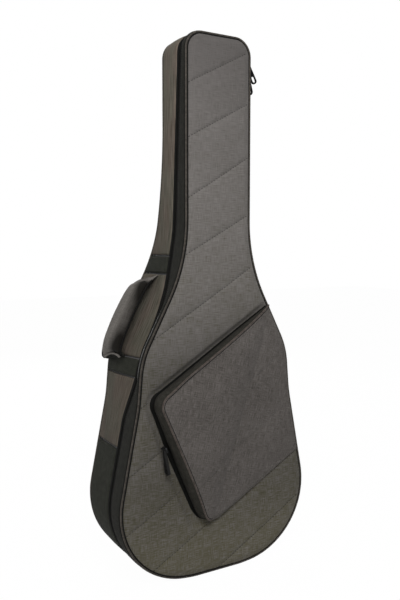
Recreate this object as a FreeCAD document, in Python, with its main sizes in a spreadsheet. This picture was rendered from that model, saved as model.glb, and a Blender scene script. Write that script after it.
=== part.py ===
"""Padded gig bag for a dreadnought acoustic guitar: a clamshell of foam boards under woven
fabric, closed by a two-slider zip, with a slanted front pocket, a side handle and back straps.

Row frame, millimetres: +Z up the neck, the lid and its pocket face -Y, the handle is on -X and
the lid hinges on +X. The origin is the middle of the flat that the bag stands on.
"""
import FreeCAD, Part
import math
import os
import re
import Sketcher

V = FreeCAD.Vector
os.makedirs("parts", exist_ok=True)
doc = FreeCAD.newDocument("gig_bag")

# ---------------------------------------------------------------- driving dimensions
DIMENSIONS = {
    # overall
    "bag_height": 1090.0, "bag_depth": 160.0, "head_depth": 98.0,
    # outline: half widths, how far in from the bout the rest lies, and the arcs' centre heights
    "base_inset": 17.5, "base_radius": 221.0,
    "bout_half": 220.0, "bout_centre": 158.0, "bout_radius": 156.5,
    "waist_inset": 41.0, "waist_centre": 408.0, "waist_radius": 300.0,
    "shoulder_inset": 43.0, "shoulder_centre": 411.0, "shoulder_radius": 164.0,
    "neck_half": 76.0, "neck_centre": 727.0, "neck_radius": 335.0, "head_radius": 37.0,
    # side profile of the back
    "back_bend": 598.0, "back_fall": 692.0, "back_drop": 28.0,
    # layers
    "skin": 3.0, "padding": 16.5, "fit_gap": 0.3, "piping": 4.0,
    # zip
    "lid_depth": 53.0, "parting_bend": 620.0, "lid_edge": 2.5,
    "tape_reach": 9.5, "coil_reach": 3.0, "coil_gap": 0.15, "tape_recess": 1.0,
    "hinge_low": 70.0, "hinge_high": 270.0, "hinge_recess": 0.6, "hinge_stand": 1.5,
    # side panels
    "base_panel_top": 276.0, "low_patch_base": 416.0, "low_patch_top": 456.0,
    "high_patch_base": 619.0, "high_patch_top": 655.0,
    # handle
    "grip_low_z": 440.0, "grip_high_z": 605.0,
    "grip_width": 66.0, "grip_thick": 16.0, "grip_reach": 40.0, "grip_root": 16.5,
    "grip_bend": 27.0, "grip_centre": 31.0, "binding_width": 3.0,
    # front pocket, corners in the plane of the lid
    "pocket_left_inset": 73.0, "pocket_left_z": 388.0, "pocket_base_x": -22.0, "pocket_base_z": 110.0,
    "pocket_top_inset": 98.0, "pocket_top_z": 556.0, "pocket_edge_rise": 0.52, "pocket_corner": 27.0,
    "pocket_inset": 5.0, "pocket_rise": 38.0, "pocket_fold_rise": 12.0, "pocket_hem": 2.8,
    "pocket_hem_run": 150.0, "pocket_skin": 2.5, "pocket_coil": 3.0, "pocket_piping": 2.4,
    # sliders and pulls
    "slider_length": 13.0, "slider_width": 10.0, "slider_plate": 2.0, "slider_lift": 1.3,
    "ear_thick": 1.2, "pin_radius": 0.5, "pocket_pull_tilt": 20.0,
    "slider_drop": 7.0, "slider_spacing": 15.0, "pocket_slider_place": 104.0,
    "pull_length": 52.0, "pull_root": 4.0, "pull_width": 13.0, "pull_thick": 2.4,
    "pull_eye_width": 7.0, "pull_eye_length": 13.0, "high_pull_tilt": 30.0, "low_pull_tilt": 13.0,
    # padding inside
    "cradle_base": 640.0, "cradle_top": 720.0, "cradle_front": -12.0, "cradle_half": 50.0,
    "neck_slot": 30.0, "neck_slot_depth": 30.0, "neck_strap_width": 38.0, "neck_strap_thick": 2.5,
    "neck_strap_inset": 2.0,
    "tail_half": 70.0, "tail_thick": 24.0, "head_pad_thick": 20.0, "head_pad_step": 8.0, "pad_front": -18.0,
    # carrying straps
    "strap_top": 575.0, "strap_spread": 34.0, "strap_low": 265.0, "strap_low_x": 88.0,
    "strap_width": 56.0, "strap_thick": 12.0, "strap_corner": 14.0, "web_width": 36.0, "web_thick": 1.8,
    "buckle_thick": 5.0, "buckle_rail": 4.0, "buckle_slot": 7.0, "buckle_corner": 3.5,
    "anchor_x": 118.0, "anchor_z": 165.0, "anchor_height": 44.0, "anchor_length": 60.0,
    "anchor_thick": 2.4, "yoke_thick": 4.0, "yoke_margin": 2.0,
    "loop_down": 105.0, "loop_drop": 70.0, "loop_width": 25.0, "loop_thick": 2.0, "loop_stand": 14.0,
    # how far tools run past what they cut
    "past": 1.0, "overrun": 10.0,
}

sheet = doc.addObject("Spreadsheet::Sheet", "sizes")
D = {}


def put(names_and_values):
    """Write named plain numbers into the sheet, one row each."""
    for name, value in names_and_values.items():
        D[name] = value
        row = len(D)
        sheet.set(f"A{row}", name)
        sheet.set(f"B{row}", f"{value:.9g}")
        sheet.setAlias(f"B{row}", name)


put(DIMENSIONS)


def arc_edge(half, radius, centre, z, bulge):
    """Half width at height z on an arc of the outline that bulges out (1) or in (-1)."""
    return half - bulge * (radius - math.sqrt(radius**2 - (z - centre)**2))


# ---------------------------------------------------------------- places that follow from them
BIG = 400.0
half_depth = D["bag_depth"] / 2
shoulder_half = D["bout_half"] - D["shoulder_inset"]
padding_in = D["skin"] + D["fit_gap"] + D["padding"]
buckle_top = D["strap_low"] - 2 * D["fit_gap"] - D["web_thick"]
buckle_step = D["buckle_rail"] + D["buckle_slot"]
derived = {
    "base_flat": D["bout_half"] - D["bout_radius"] - D["base_inset"],
    "waist_half": D["bout_half"] - D["waist_inset"],
    "shoulder_half": shoulder_half,
    "grip_low_x": -arc_edge(shoulder_half, D["shoulder_radius"], D["shoulder_centre"], D["grip_low_z"], 1),
    "grip_high_x": -arc_edge(D["neck_half"], D["neck_radius"], D["neck_centre"], D["grip_high_z"], -1),
    "pocket_left_x": D["pocket_left_inset"] - D["bout_half"],
    "pocket_top_x": D["bout_half"] - D["pocket_top_inset"],
    "high_slider": D["bag_height"] - D["head_radius"] - D["slider_drop"],
    "low_slider": D["bag_height"] - D["head_radius"] - D["slider_drop"] - D["slider_spacing"],
    "loop_place": D["bag_height"] - D["loop_down"],
    "front": -half_depth,
    "back": half_depth,
    "head_back": D["head_depth"] - half_depth,
    "padding_out": D["skin"] + D["fit_gap"],
    "padding_in": padding_in,
    "block_out": padding_in + D["fit_gap"],
    "panel_out": D["piping"] + D["fit_gap"],
    "parting": -half_depth + D["lid_depth"],
    "parting_top": -half_depth + padding_in + D["lid_edge"],
    "edge_gap": D["coil_gap"] + D["lid_edge"] / 4,
    "ear_reach": math.hypot(D["pull_root"], D["pull_thick"]) / 2 + D["fit_gap"],
    "buckle_top": buckle_top,
    "buckle_bar": buckle_top - buckle_step,
    "buckle_base": buckle_top - 2 * buckle_step - D["buckle_rail"],
    "buckle_back": half_depth + 2 * D["fit_gap"] + D["web_thick"],
}
put(derived)


def bind(thing, **expressions):
    """Bind properties to expressions over the sheet's aliases."""
    for prop, expression in expressions.items():
        thing.setExpression(prop.replace("__", "."), size(expression))
    return thing


def size(expression):
    """Point each name in an expression at its cell of the sheet."""
    return re.sub(r"[a-z][a-z_]+", lambda word: f"sizes.{word.group()}", str(expression))


# ---------------------------------------------------------------- sketches
FRONT_PLANE = FreeCAD.Placement(V(0, 0, 0), FreeCAD.Rotation(V(1, 0, 0), 90))
SIDE_PLANE = FreeCAD.Placement(V(0, 0, 0), FreeCAD.Rotation(V(1, 1, 1), 120))
START, END, CENTRE = 1, 2, 3
ORIGIN, Z_AXIS = -1, -2


def drive(sketch, kind, places, value, expression):
    """Add a sizing constraint and bind it to the sheet."""
    index = sketch.addConstraint(Sketcher.Constraint(kind, *places, value))
    sketch.setExpression(f"Constraints[{index}]", size(expression))


def polygon(name, placement, corners):
    """Closed straight-sided sketch; each corner is a pair of expressions."""
    sketch = doc.addObject("Sketcher::SketchObject", name)
    sketch.Placement = placement
    count = len(corners)
    turn = [2 * math.pi * k / count for k in range(count)]
    rough = [V(BIG * math.cos(a), BIG * math.sin(a), 0) for a in turn]
    for k in range(count):
        sketch.addGeometry(Part.LineSegment(rough[k], rough[(k + 1) % count]), False)
    for k in range(count):
        sketch.addConstraint(Sketcher.Constraint("Coincident", k, END, (k + 1) % count, START))
    for k, (across, up) in enumerate(corners):
        for kind, expression in (("DistanceX", across), ("DistanceY", up)):
            spot = rough[k].x if kind == "DistanceX" else rough[k].y
            drive(sketch, kind, (ORIGIN, START, k, START), spot, expression)
    return sketch


def tangent_normals(circles):
    """Direction from centre to contact for the common tangent of each neighbouring pair."""
    normals = []
    for (c1, r1, s1), (c2, r2, s2) in zip(circles, circles[1:]):
        span = c2 - c1
        lean = math.acos((s1 * r1 - s2 * r2) / span.Length)
        normals.append(math.atan2(span.y, span.x) - lean)
    return normals


def bag_outline():
    """The guitar outline: twelve arcs, each joined to the next by a common tangent line."""
    right = [
        ("base", V(D["base_flat"], D["base_radius"], 0), D["base_radius"], 1),
        ("bout", V(D["bout_half"] - D["bout_radius"], D["bout_centre"], 0), D["bout_radius"], 1),
        ("waist", V(D["waist_half"] + D["waist_radius"], D["waist_centre"], 0), D["waist_radius"], -1),
        ("shoulder", V(D["shoulder_half"] - D["shoulder_radius"], D["shoulder_centre"], 0),
         D["shoulder_radius"], 1),
        ("neck", V(D["neck_half"] + D["neck_radius"], D["neck_centre"], 0), D["neck_radius"], -1),
        ("head", V(D["neck_half"] - D["head_radius"], D["bag_height"] - D["head_radius"], 0),
         D["head_radius"], 1),
    ]
    sketch = doc.addObject("Sketcher::SketchObject", "outline")
    sketch.Placement = FRONT_PLANE
    normals = [-math.pi / 2] + tangent_normals([c[1:] for c in right]) + [math.pi / 2]
    arcs = {}
    for side in (1, -1):
        for k, (name, centre, radius, sign) in enumerate(right):
            low, high = normals[k], normals[k + 1]
            if side < 0:
                low, high = math.pi - low, math.pi - high
                centre = V(-centre.x, centre.y, 0)
            if sign < 0:
                low, high = low + math.pi, high + math.pi
            first, last = (low, high) if side * sign > 0 else (high, low)
            circle = Part.Circle(centre, V(0, 0, 1), radius)
            arcs[side, k] = sketch.addGeometry(Part.ArcOfCircle(circle, first, last), False)

    def end(side, k, upper):
        """Which end of arc k is its upper one: arcs always run anticlockwise."""
        forward = side * right[k][3] > 0
        return END if forward == upper else START

    def join(side_a, a, upper_a, side_b, b, upper_b):
        start = sketch.getPoint(arcs[side_a, a], end(side_a, a, upper_a))
        stop = sketch.getPoint(arcs[side_b, b], end(side_b, b, upper_b))
        line = sketch.addGeometry(Part.LineSegment(start, stop), False)
        for which, arc, tip in ((START, arcs[side_a, a], end(side_a, a, upper_a)),
                                (END, arcs[side_b, b], end(side_b, b, upper_b))):
            sketch.addConstraint(Sketcher.Constraint("Tangent", line, which, arc, tip))
        return line

    last_arc = len(right) - 1
    base_line = join(-1, 0, False, 1, 0, False)
    top_line = join(-1, last_arc, True, 1, last_arc, True)
    for side in (1, -1):
        for k in range(last_arc):
            join(side, k, True, side, k + 1, False)

    for line in (base_line, top_line):
        sketch.addConstraint(Sketcher.Constraint("Horizontal", line))
    sketch.addConstraint(Sketcher.Constraint("PointOnObject", base_line, START, ORIGIN))
    drive(sketch, "DistanceY", (ORIGIN, START, top_line, START), D["bag_height"], "bag_height")
    for side in (1, -1):
        for k, (name, centre, radius, sign) in enumerate(right):
            arc = arcs[side, k]
            drive(sketch, "Radius", (arc,), radius, f"{name}_radius")
            half = {"base": "base_flat", "head": "neck_half - head_radius"}
            swell = "+" if sign < 0 else "-"
            reach = half.get(name, f"{name}_half {swell} {name}_radius")
            points = (ORIGIN, START, arc, CENTRE) if side > 0 else (arc, CENTRE, ORIGIN, START)
            drive(sketch, "DistanceX", points, centre.x, reach)
            if name not in ("base", "head"):
                drive(sketch, "DistanceY", (ORIGIN, START, arc, CENTRE), centre.y, f"{name}_centre")
    return sketch


def back_profile():
    """Region in front of the back surface: flat over the body, then falling to the head."""
    fall = math.atan2(D["back_drop"], D["back_fall"] - D["back_bend"])
    knee = V(D["back"] - D["back_drop"], D["back_fall"], 0)
    radius = (knee.x - D["head_back"]) / (1 - math.cos(fall))
    centre = V(D["head_back"] + radius, knee.y + radius * math.sin(fall), 0)
    far = D["bag_height"] + BIG
    points = [V(-BIG, -BIG, 0), V(D["back"], -BIG, 0), V(D["back"], D["back_bend"], 0), knee,
              V(D["head_back"], centre.y, 0), V(D["head_back"], far, 0), V(-BIG, far, 0)]
    sketch = doc.addObject("Sketcher::SketchObject", "back_profile")
    sketch.Placement = SIDE_PLANE
    count, bend = len(points), 3
    for k in range(count):
        start, stop = points[k], points[(k + 1) % count]
        edge = Part.LineSegment(start, stop)
        if k == bend:
            circle = Part.Circle(centre, V(0, 0, 1), radius)
            edge = Part.ArcOfCircle(circle, math.pi, math.pi + fall)
        sketch.addGeometry(edge, False)
    tips = {k: (START, END) for k in range(count)}
    tips[bend] = (END, START)
    for k in range(count):
        after = (k + 1) % count
        kind = "Tangent" if bend in (k, after) else "Coincident"
        sketch.addConstraint(Sketcher.Constraint(kind, k, tips[k][1], after, tips[after][0]))
    places = [(-BIG, -BIG), ("back", -BIG), ("back", "back_bend"), ("back - back_drop", "back_fall"),
              ("head_back", None), ("head_back", f"bag_height + {BIG}"), (-BIG, f"bag_height + {BIG}")]
    for k, spot in enumerate(places):
        for kind, expression in zip(("DistanceX", "DistanceY"), spot):
            if expression is None:
                continue
            value = points[k].x if kind == "DistanceX" else points[k].y
            which = tips[k][0]
            drive(sketch, kind, (ORIGIN, START, k, which), value, expression)
    return sketch


def rounded(name, sketch, radius):
    """Round every outward corner: step in by the radius, then out again round arcs."""
    inner = offset(f"{name}_in", sketch, f"-({radius})")
    return offset(f"{name}_round", inner, radius)


def offset(name, source, value):
    """Parallel outline; positive is outwards."""
    made = doc.addObject("Part::Offset2D", name)
    made.Source = source
    made.Join = "Arc"
    return bind(made, Value=value)


# ---------------------------------------------------------------- solids
def extrude(name, base, axis, start, stop):
    """Prism of a flat outline from start to stop along axis."""
    made = doc.addObject("Part::Extrusion", name)
    made.Base = base
    made.DirMode = "Custom"
    made.Dir = axis
    made.Solid = True
    return bind(made, LengthFwd=stop, LengthRev=f"-({start})")


def box(name, x, y, z):
    """Box between pairs of expressions along the row axes."""
    made = doc.addObject("Part::Box", name)
    sizes = {side: f"({hi}) - ({lo})" for side, (lo, hi) in zip(("Length", "Width", "Height"), (x, y, z))}
    places = {f"Placement__Base__{axis}": str(pair[0]) for axis, pair in zip("xyz", (x, y, z))}
    return bind(made, **sizes, **places)


def common(name, *parts):
    made = doc.addObject("Part::MultiCommon", name)
    made.Shapes = list(parts)
    return made


def fuse(name, *parts):
    made = doc.addObject("Part::MultiFuse", name)
    made.Shapes = list(parts)
    return made


def cut(name, base, tool):
    made = doc.addObject("Part::Cut", name)
    made.Base, made.Tool = base, tool
    return made


NODES = {}


def node(name, shape_object, frame=None):
    """Name a finished sub-part; the name is its label and its file."""
    shape_object.Label = name
    if frame is not None:
        shape_object.Placement = frame
    NODES[name] = shape_object
    return shape_object


WIDE = (-BIG, BIG)


def bag(name, inset, start=-BIG, stop=BIG):
    """Prism of the bag's outline, drawn in by inset, between two depths."""
    source = outline if inset == "0" else offset(f"{name}_line", outline, f"-({inset})")
    return extrude(f"{name}_prism", source, V(0, 1, 0), start, stop)


def ring(name, outer, inner, start=-BIG, stop=BIG):
    """Wall that follows the outline, between two insets."""
    return cut(f"{name}_ring", bag(f"{name}_o", outer, start, stop), bag(f"{name}_i", inner, start, stop))


def before_back(name, inset):
    """Everything in front of the back surface, drawn in by inset."""
    curve = back_curve if inset == "0" else offset(f"{name}_curve", back_curve, f"-({inset})")
    return extrude(f"{name}_front_of_back", curve, V(1, 0, 0), *WIDE)


def zip_band(name, start, stop):
    """Slice that follows the zip line; start and stop are measured towards the back."""
    low, high = "-overrun", "bag_height + overrun"

    def edge(shift):
        if shift in WIDE:
            return [(shift, low), (shift, "parting_bend"), (shift, high)]
        return [(f"parting + ({shift})", low), (f"parting + ({shift})", "parting_bend"),
                (f"parting_top + ({shift})", high)]

    sketch = polygon(f"{name}_slice", SIDE_PLANE, edge(start) + edge(stop)[::-1])
    return extrude(f"{name}_band", sketch, V(1, 0, 0), *WIDE)


LEFT, RIGHT, ALL = (-BIG, 0), (0, BIG), WIDE
ALL_UP = (-BIG, f"bag_height + {BIG}")


# ---------------------------------------------------------------- tub: back half of the clamshell
def outer_fabric():
    """Woven side panels, the dark base panel and the two patches under the handle's ends."""
    wall = common("side_fabric", ring("side_fabric", "0", "skin"),
                  before_back("side_fabric", "panel_out"), zip_band("side_fabric", "tape_reach", BIG))
    pieces = {
        "side_panel_neck_left": (LEFT, ("high_patch_top", "bag_height + overrun")),
        "handle_patch_upper": (LEFT, ("high_patch_base", "high_patch_top")),
        "side_panel_handle": (LEFT, ("low_patch_top", "high_patch_base")),
        "handle_patch_lower": (LEFT, ("low_patch_base", "low_patch_top")),
        "side_panel_waist_left": (LEFT, ("base_panel_top", "low_patch_base")),
        "side_panel_right": (RIGHT, ("base_panel_top", "bag_height + overrun")),
        "base_panel": (ALL, ("-overrun", "base_panel_top")),
    }
    for name, (across, up) in pieces.items():
        node(name, common(name, wall, box(f"{name}_zone", across, ALL, up)))


def tub_boards():
    """Padding boards with their bonded lining, the back fabric and the tub's piping."""
    wall = common("side_padding", ring("side_padding", "padding_out", "padding_in"),
                  before_back("side_padding", "block_out"),
                  zip_band("tub_edge", "edge_gap", BIG))
    for name, across in (("side_padding_left", LEFT), ("side_padding_right", RIGHT)):
        node(name, common(name, wall, box(f"{name}_zone", across, ALL, ALL_UP)))
    node("back_panel", common("back_panel", bag("back_panel", "panel_out", "parting", BIG),
                              cut("back_fabric", before_back("back_fabric_o", "0"),
                                  before_back("back_fabric_i", "skin"))))
    node("back_padding", common("back_padding", bag("back_padding", "panel_out", "parting - padding", BIG),
                                cut("back_board", before_back("back_board_o", "padding_out"),
                                    before_back("back_board_i", "padding_in"))))
    node("back_piping", common("back_piping", ring("back_piping", "0", "piping", "parting", BIG),
                               cut("back_edge", before_back("back_edge_o", "0"),
                                   before_back("back_edge_i", "piping"))))


# ---------------------------------------------------------------- lid: front half
def lid_boards():
    """Front fabric, its piping, the dark rim cloth and the lid's padding with its bonded lining."""
    node("front_panel", bag("front_panel", "panel_out", "front", "front + skin"))
    node("front_piping", ring("front_piping", "0", "piping", "front", "front + piping"))
    node("lid_rim", common("lid_rim", ring("lid_rim", "0", "skin", "front + panel_out", BIG),
                           zip_band("lid_rim", -BIG, "-tape_reach")))
    node("lid_padding", bag("lid_padding", "panel_out", "front + padding_out", "front + padding_in"))
    node("lid_rim_padding", common(
        "lid_rim_padding", ring("lid_rim_padding", "padding_out", "padding_in", "front + block_out", BIG),
        zip_band("lid_edge", -BIG, "-edge_gap")))


def zip_and_hinge():
    """A zip half on each edge, coil on tape, and the woven hinge where the zip stops."""
    hinge_zone = box("hinge_zone", (0, BIG), WIDE, ("hinge_low", "hinge_high"))
    for owner, sign in (("lid", "-"), ("tub", "")):
        def reach(near, far):
            return (f"-({far})", f"-({near})") if sign else (near, far)
        tape = common(f"{owner}_tape", ring(f"{owner}_tape", "tape_recess", "skin"),
                      zip_band(f"{owner}_tape", *reach("coil_gap", "tape_reach")))
        coil = common(f"{owner}_coil", ring(f"{owner}_coil", "0", "skin"),
                      zip_band(f"{owner}_coil", *reach("coil_gap", "coil_reach")))
        node(f"zip_{owner}", cut(f"zip_{owner}", fuse(f"{owner}_zip_all", tape, coil), hinge_zone))
        web = ring(f"{owner}_hinge", "hinge_recess", "skin")
        node(f"hinge_web_{owner}", common(f"hinge_web_{owner}", web, hinge_zone,
                                          zip_band(f"{owner}_hinge", *reach("coil_gap", "tape_reach"))))


# ---------------------------------------------------------------- side handle
def side_handle():
    """Padded loop on the shoulder: grip and its binding swing, the two sewn ends flex."""
    high = V(D["grip_high_x"], D["grip_centre"], D["grip_high_z"])
    low = V(D["grip_low_x"], D["grip_centre"], D["grip_low_z"])
    chord = (low - high).normalize()
    span = (low - high).Length
    away = V(chord.z, 0, -chord.x)
    frame = FreeCAD.Placement(high, FreeCAD.Rotation(chord, away, chord.cross(away), "XYZ"))
    put({"grip_span": span})
    below = "-grip_reach"

    def loop(name, side, top, radius):
        start, stop = f"-({side})", f"grip_span + ({side})"
        flat = polygon(name, FreeCAD.Placement(), [(start, below), (stop, below), (stop, top), (start, top)])
        return rounded(name, flat, radius)

    outer = loop("grip_outer", "0", "grip_reach", "grip_bend")
    inner = loop("grip_inner", "-grip_thick", "grip_reach - grip_thick", "grip_bend - grip_thick")

    def slice_of(name, near, far, floor, roof):
        solid = cut(f"{name}_loop", extrude(f"{name}_o", outer, V(0, 0, 1), near, far),
                    extrude(f"{name}_i", inner, V(0, 0, 1), f"{near} - past", f"{far} + past"))
        zone = box(f"{name}_zone", (-BIG, BIG), (floor, roof), (-BIG, BIG))
        return common(name, solid, zone)

    edge = "(grip_width / 2 - binding_width)"
    node("handle_grip", slice_of("handle_grip", f"-{edge}", edge, "grip_root", "grip_reach + past"), frame)
    sides = [slice_of("binding_front", "-grip_width / 2", f"-{edge}", "grip_root", "grip_reach + past"),
             slice_of("binding_back", edge, "grip_width / 2", "grip_root", "grip_reach + past")]
    node("handle_binding", doc.addObject("Part::Compound", "handle_binding"), frame).Links = sides
    ends = slice_of("handle_ends", "-grip_width / 2", "grip_width / 2", "-grip_root", "grip_root - fit_gap")
    ends.Placement = frame
    wall = bag("handle_wall", "-fit_gap")
    clear = cut("handle_ends_clear", ends, wall)
    middle = "(grip_high_z + grip_low_z) / 2"
    for word, up in (("upper", (middle, "bag_height")), ("lower", ("0", middle))):
        name = f"handle_end_{word}"
        node(name, common(name, clear, box(f"{name}_zone", ALL, ALL, up)))
    return high, chord


# ---------------------------------------------------------------- front pocket
def front_pocket():
    """Slanted pocket: proud at its left corner, hemmed flat at the right, folding on a diagonal."""
    left = V(D["pocket_left_x"], 0, D["pocket_left_z"])
    low = V(D["pocket_base_x"], 0, D["pocket_base_z"])
    top = V(D["pocket_top_x"], 0, D["pocket_top_z"])
    slope = (top.z - left.z) / (top.x - left.x)
    reach = BIG / 2
    put({"pocket_far_top": top.z + slope * (reach - top.x),
         "pocket_far_low": low.z + D["pocket_edge_rise"] * (reach - low.x)})
    corners = [("pocket_left_x", "pocket_left_z"), ("pocket_base_x", "pocket_base_z"),
               (reach, "pocket_far_low"), (reach, "pocket_far_top")]
    flat = polygon("pocket_corners", FRONT_PLANE, corners)
    shape = rounded("pocket", flat, "pocket_corner")
    fold = (top - low).normalize()
    across = V(-fold.z, 0, fold.x)
    frame = FreeCAD.Placement(low + V(0, D["front"], 0),
                              FreeCAD.Rotation(across, V(0, -1, 0), across.cross(V(0, -1, 0)), "XYZ"))
    put({"pocket_swell": (left - low).dot(across)})

    def region(name, inset):
        """Prism of the pocket's outline, drawn in, inside the bag's own outline."""
        line = shape if inset == "0" else offset(f"{name}_pocket_line", shape, f"-({inset})")
        return common(f"{name}_region", extrude(f"{name}_pocket", line, V(0, 1, 0), -BIG, "front - fit_gap"),
                      bag(f"{name}_limit", f"pocket_inset + ({inset})"))

    def height(part, drop):
        """Roof line across the fold, part of its height and lowered by drop.

        It runs on past the proud corner, to twice that corner's distance.
        """
        return [("pocket_swell * 2", f"(pocket_rise * 2 - pocket_fold_rise) * {part} - ({drop})"),
                (0, f"pocket_fold_rise * {part} - ({drop})"),
                ("-pocket_hem_run", f"pocket_hem * {part} - ({drop})"),
                (-BIG, f"pocket_hem * {part} - ({drop})")]

    def under(name, part=1, drop="0"):
        line = height(part, drop)
        floor = "-past" if part == 1 and drop == "0" else "-pocket_rise"
        profile = polygon(f"{name}_roof", frame, line + [(-BIG, floor), ("pocket_swell * 2", floor)])
        return extrude(f"{name}_under", profile, fold, -BIG, 2 * BIG)

    def side(name, start, stop):
        corners = [(start, "-past"), (stop, "-past"), (stop, BIG), (start, BIG)]
        profile = polygon(f"{name}_side_flat", frame, corners)
        return extrude(f"{name}_side", profile, fold, -BIG, 2 * BIG)

    flap_side = side("flap", "fit_gap", BIG)
    hem_side = side("hem", -BIG, "-fit_gap")
    whole = common("pocket_whole", region("whole", "0"), under("whole"))
    inside = common("pocket_inside", region("inside", "pocket_skin"), under("inside", 1, "pocket_skin"))
    node("pocket_panel", common("pocket_panel", cut("pocket_shell", whole, inside), hem_side))
    flap = common("flap_fabric", region("flap", "pocket_piping + fit_gap"), under("flap"), flap_side)
    node("pocket_flap", cut("pocket_flap", flap, under("flap_low", 1, "pocket_skin")))
    wall = common("gusset_wall", cut("gusset_ring", region("gusset_o", "0"), region("gusset_i", "pocket_skin")),
                  flap_side)
    border = cut("flap_edge_ring", region("edge_o", "0"), region("edge_i", "pocket_piping"))
    piping = common("flap_edge", border, flap_side, under("edge"))
    node("pocket_piping", cut("pocket_piping", piping, under("edge_low", 1, "pocket_skin")))
    levels = {
        "pocket_gusset_flap": ("pocket_skin + fit_gap", 1, "-pocket_coil", 0.5),
        "pocket_zip_flap": ("-pocket_coil", 0.5, "-coil_gap", 0.5),
        "pocket_zip_lid": ("coil_gap", 0.5, "pocket_coil", 0.5),
    }
    for name, (high_drop, high_part, low_drop, low_part) in levels.items():
        layer = common(f"{name}_layer", wall, under(f"{name}_high", high_part, high_drop))
        node(name, cut(name, layer, under(f"{name}_low", low_part, low_drop)))
    node("pocket_gusset_lid", common("pocket_gusset_lid", wall, under("gusset_lid", 0.5, "pocket_coil")))
    return left, low, top, fold, across, frame


# ---------------------------------------------------------------- sliders and pulls
def slider_and_pull(slider_name, pull_name, place, down, out, flange_side, flange_foot, tilt):
    """Zip slider that straddles one coil half, and the pull on its pin.

    Locally x runs along the pin, y down the zip and z away from the wall.
    """
    frame = FreeCAD.Placement(place, FreeCAD.Rotation(down.cross(out), down, out, "XYZ"))
    half = "slider_length / 2"
    roof = "slider_lift + slider_plate"
    neck, tail = "slider_width / 2", "slider_width / 3"
    plate_line = polygon(f"{slider_name}_line", FreeCAD.Placement(),
                         [(f"-{neck}", f"-{half}"), (neck, f"-{half}"), (neck, 0), (tail, half),
                          (f"-{tail}", half), (f"-{neck}", 0)])
    plate = extrude(f"{slider_name}_plate", plate_line, V(0, 0, 1), "slider_lift", roof)
    inner, outer = "coil_reach + fit_gap", neck
    flange_x = (inner, outer) if flange_side > 0 else (f"-({outer})", f"-({inner})")
    flange = box(f"{slider_name}_flange", flange_x, (f"-{half}", 0), (f"{flange_foot} + fit_gap", roof))
    ear, gap = "ear_thick", "(pull_root / 2 + 2 * fit_gap)"
    ears = []
    for word, (near, far) in (("left", (f"-{gap} - {ear}", f"-{gap}")), ("right", (gap, f"{gap} + {ear}"))):
        ears.append(box(f"{slider_name}_ear_{word}", (near, far), (f"-{half}", f"-{half} + 2 * ear_reach"),
                        (roof, f"{roof} + 2 * ear_reach")))
    pin = doc.addObject("Part::Cylinder", f"{slider_name}_pin")
    bind(pin, Radius="pin_radius", Height=f"2 * ({gap} + {ear})", Placement__Base__x=f"-{gap} - {ear}",
         Placement__Base__y=f"-{half} + ear_reach", Placement__Base__z=f"{roof} + ear_reach")
    pin.Placement.Rotation = FreeCAD.Rotation(V(0, 1, 0), 90)
    node(slider_name, fuse(slider_name, plate, flange, *ears, pin), frame)
    hinge = V(0, D["ear_reach"] - D["slider_length"] / 2,
              D["slider_lift"] + D["slider_plate"] + D["ear_reach"])
    swing = FreeCAD.Placement(hinge, FreeCAD.Rotation(V(1, 0, 0), tilt))
    node(pull_name, pull_tab(pull_name), frame.multiply(swing))
    return frame.multVec(hinge), frame.Rotation.multVec(V(1, 0, 0))


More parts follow.
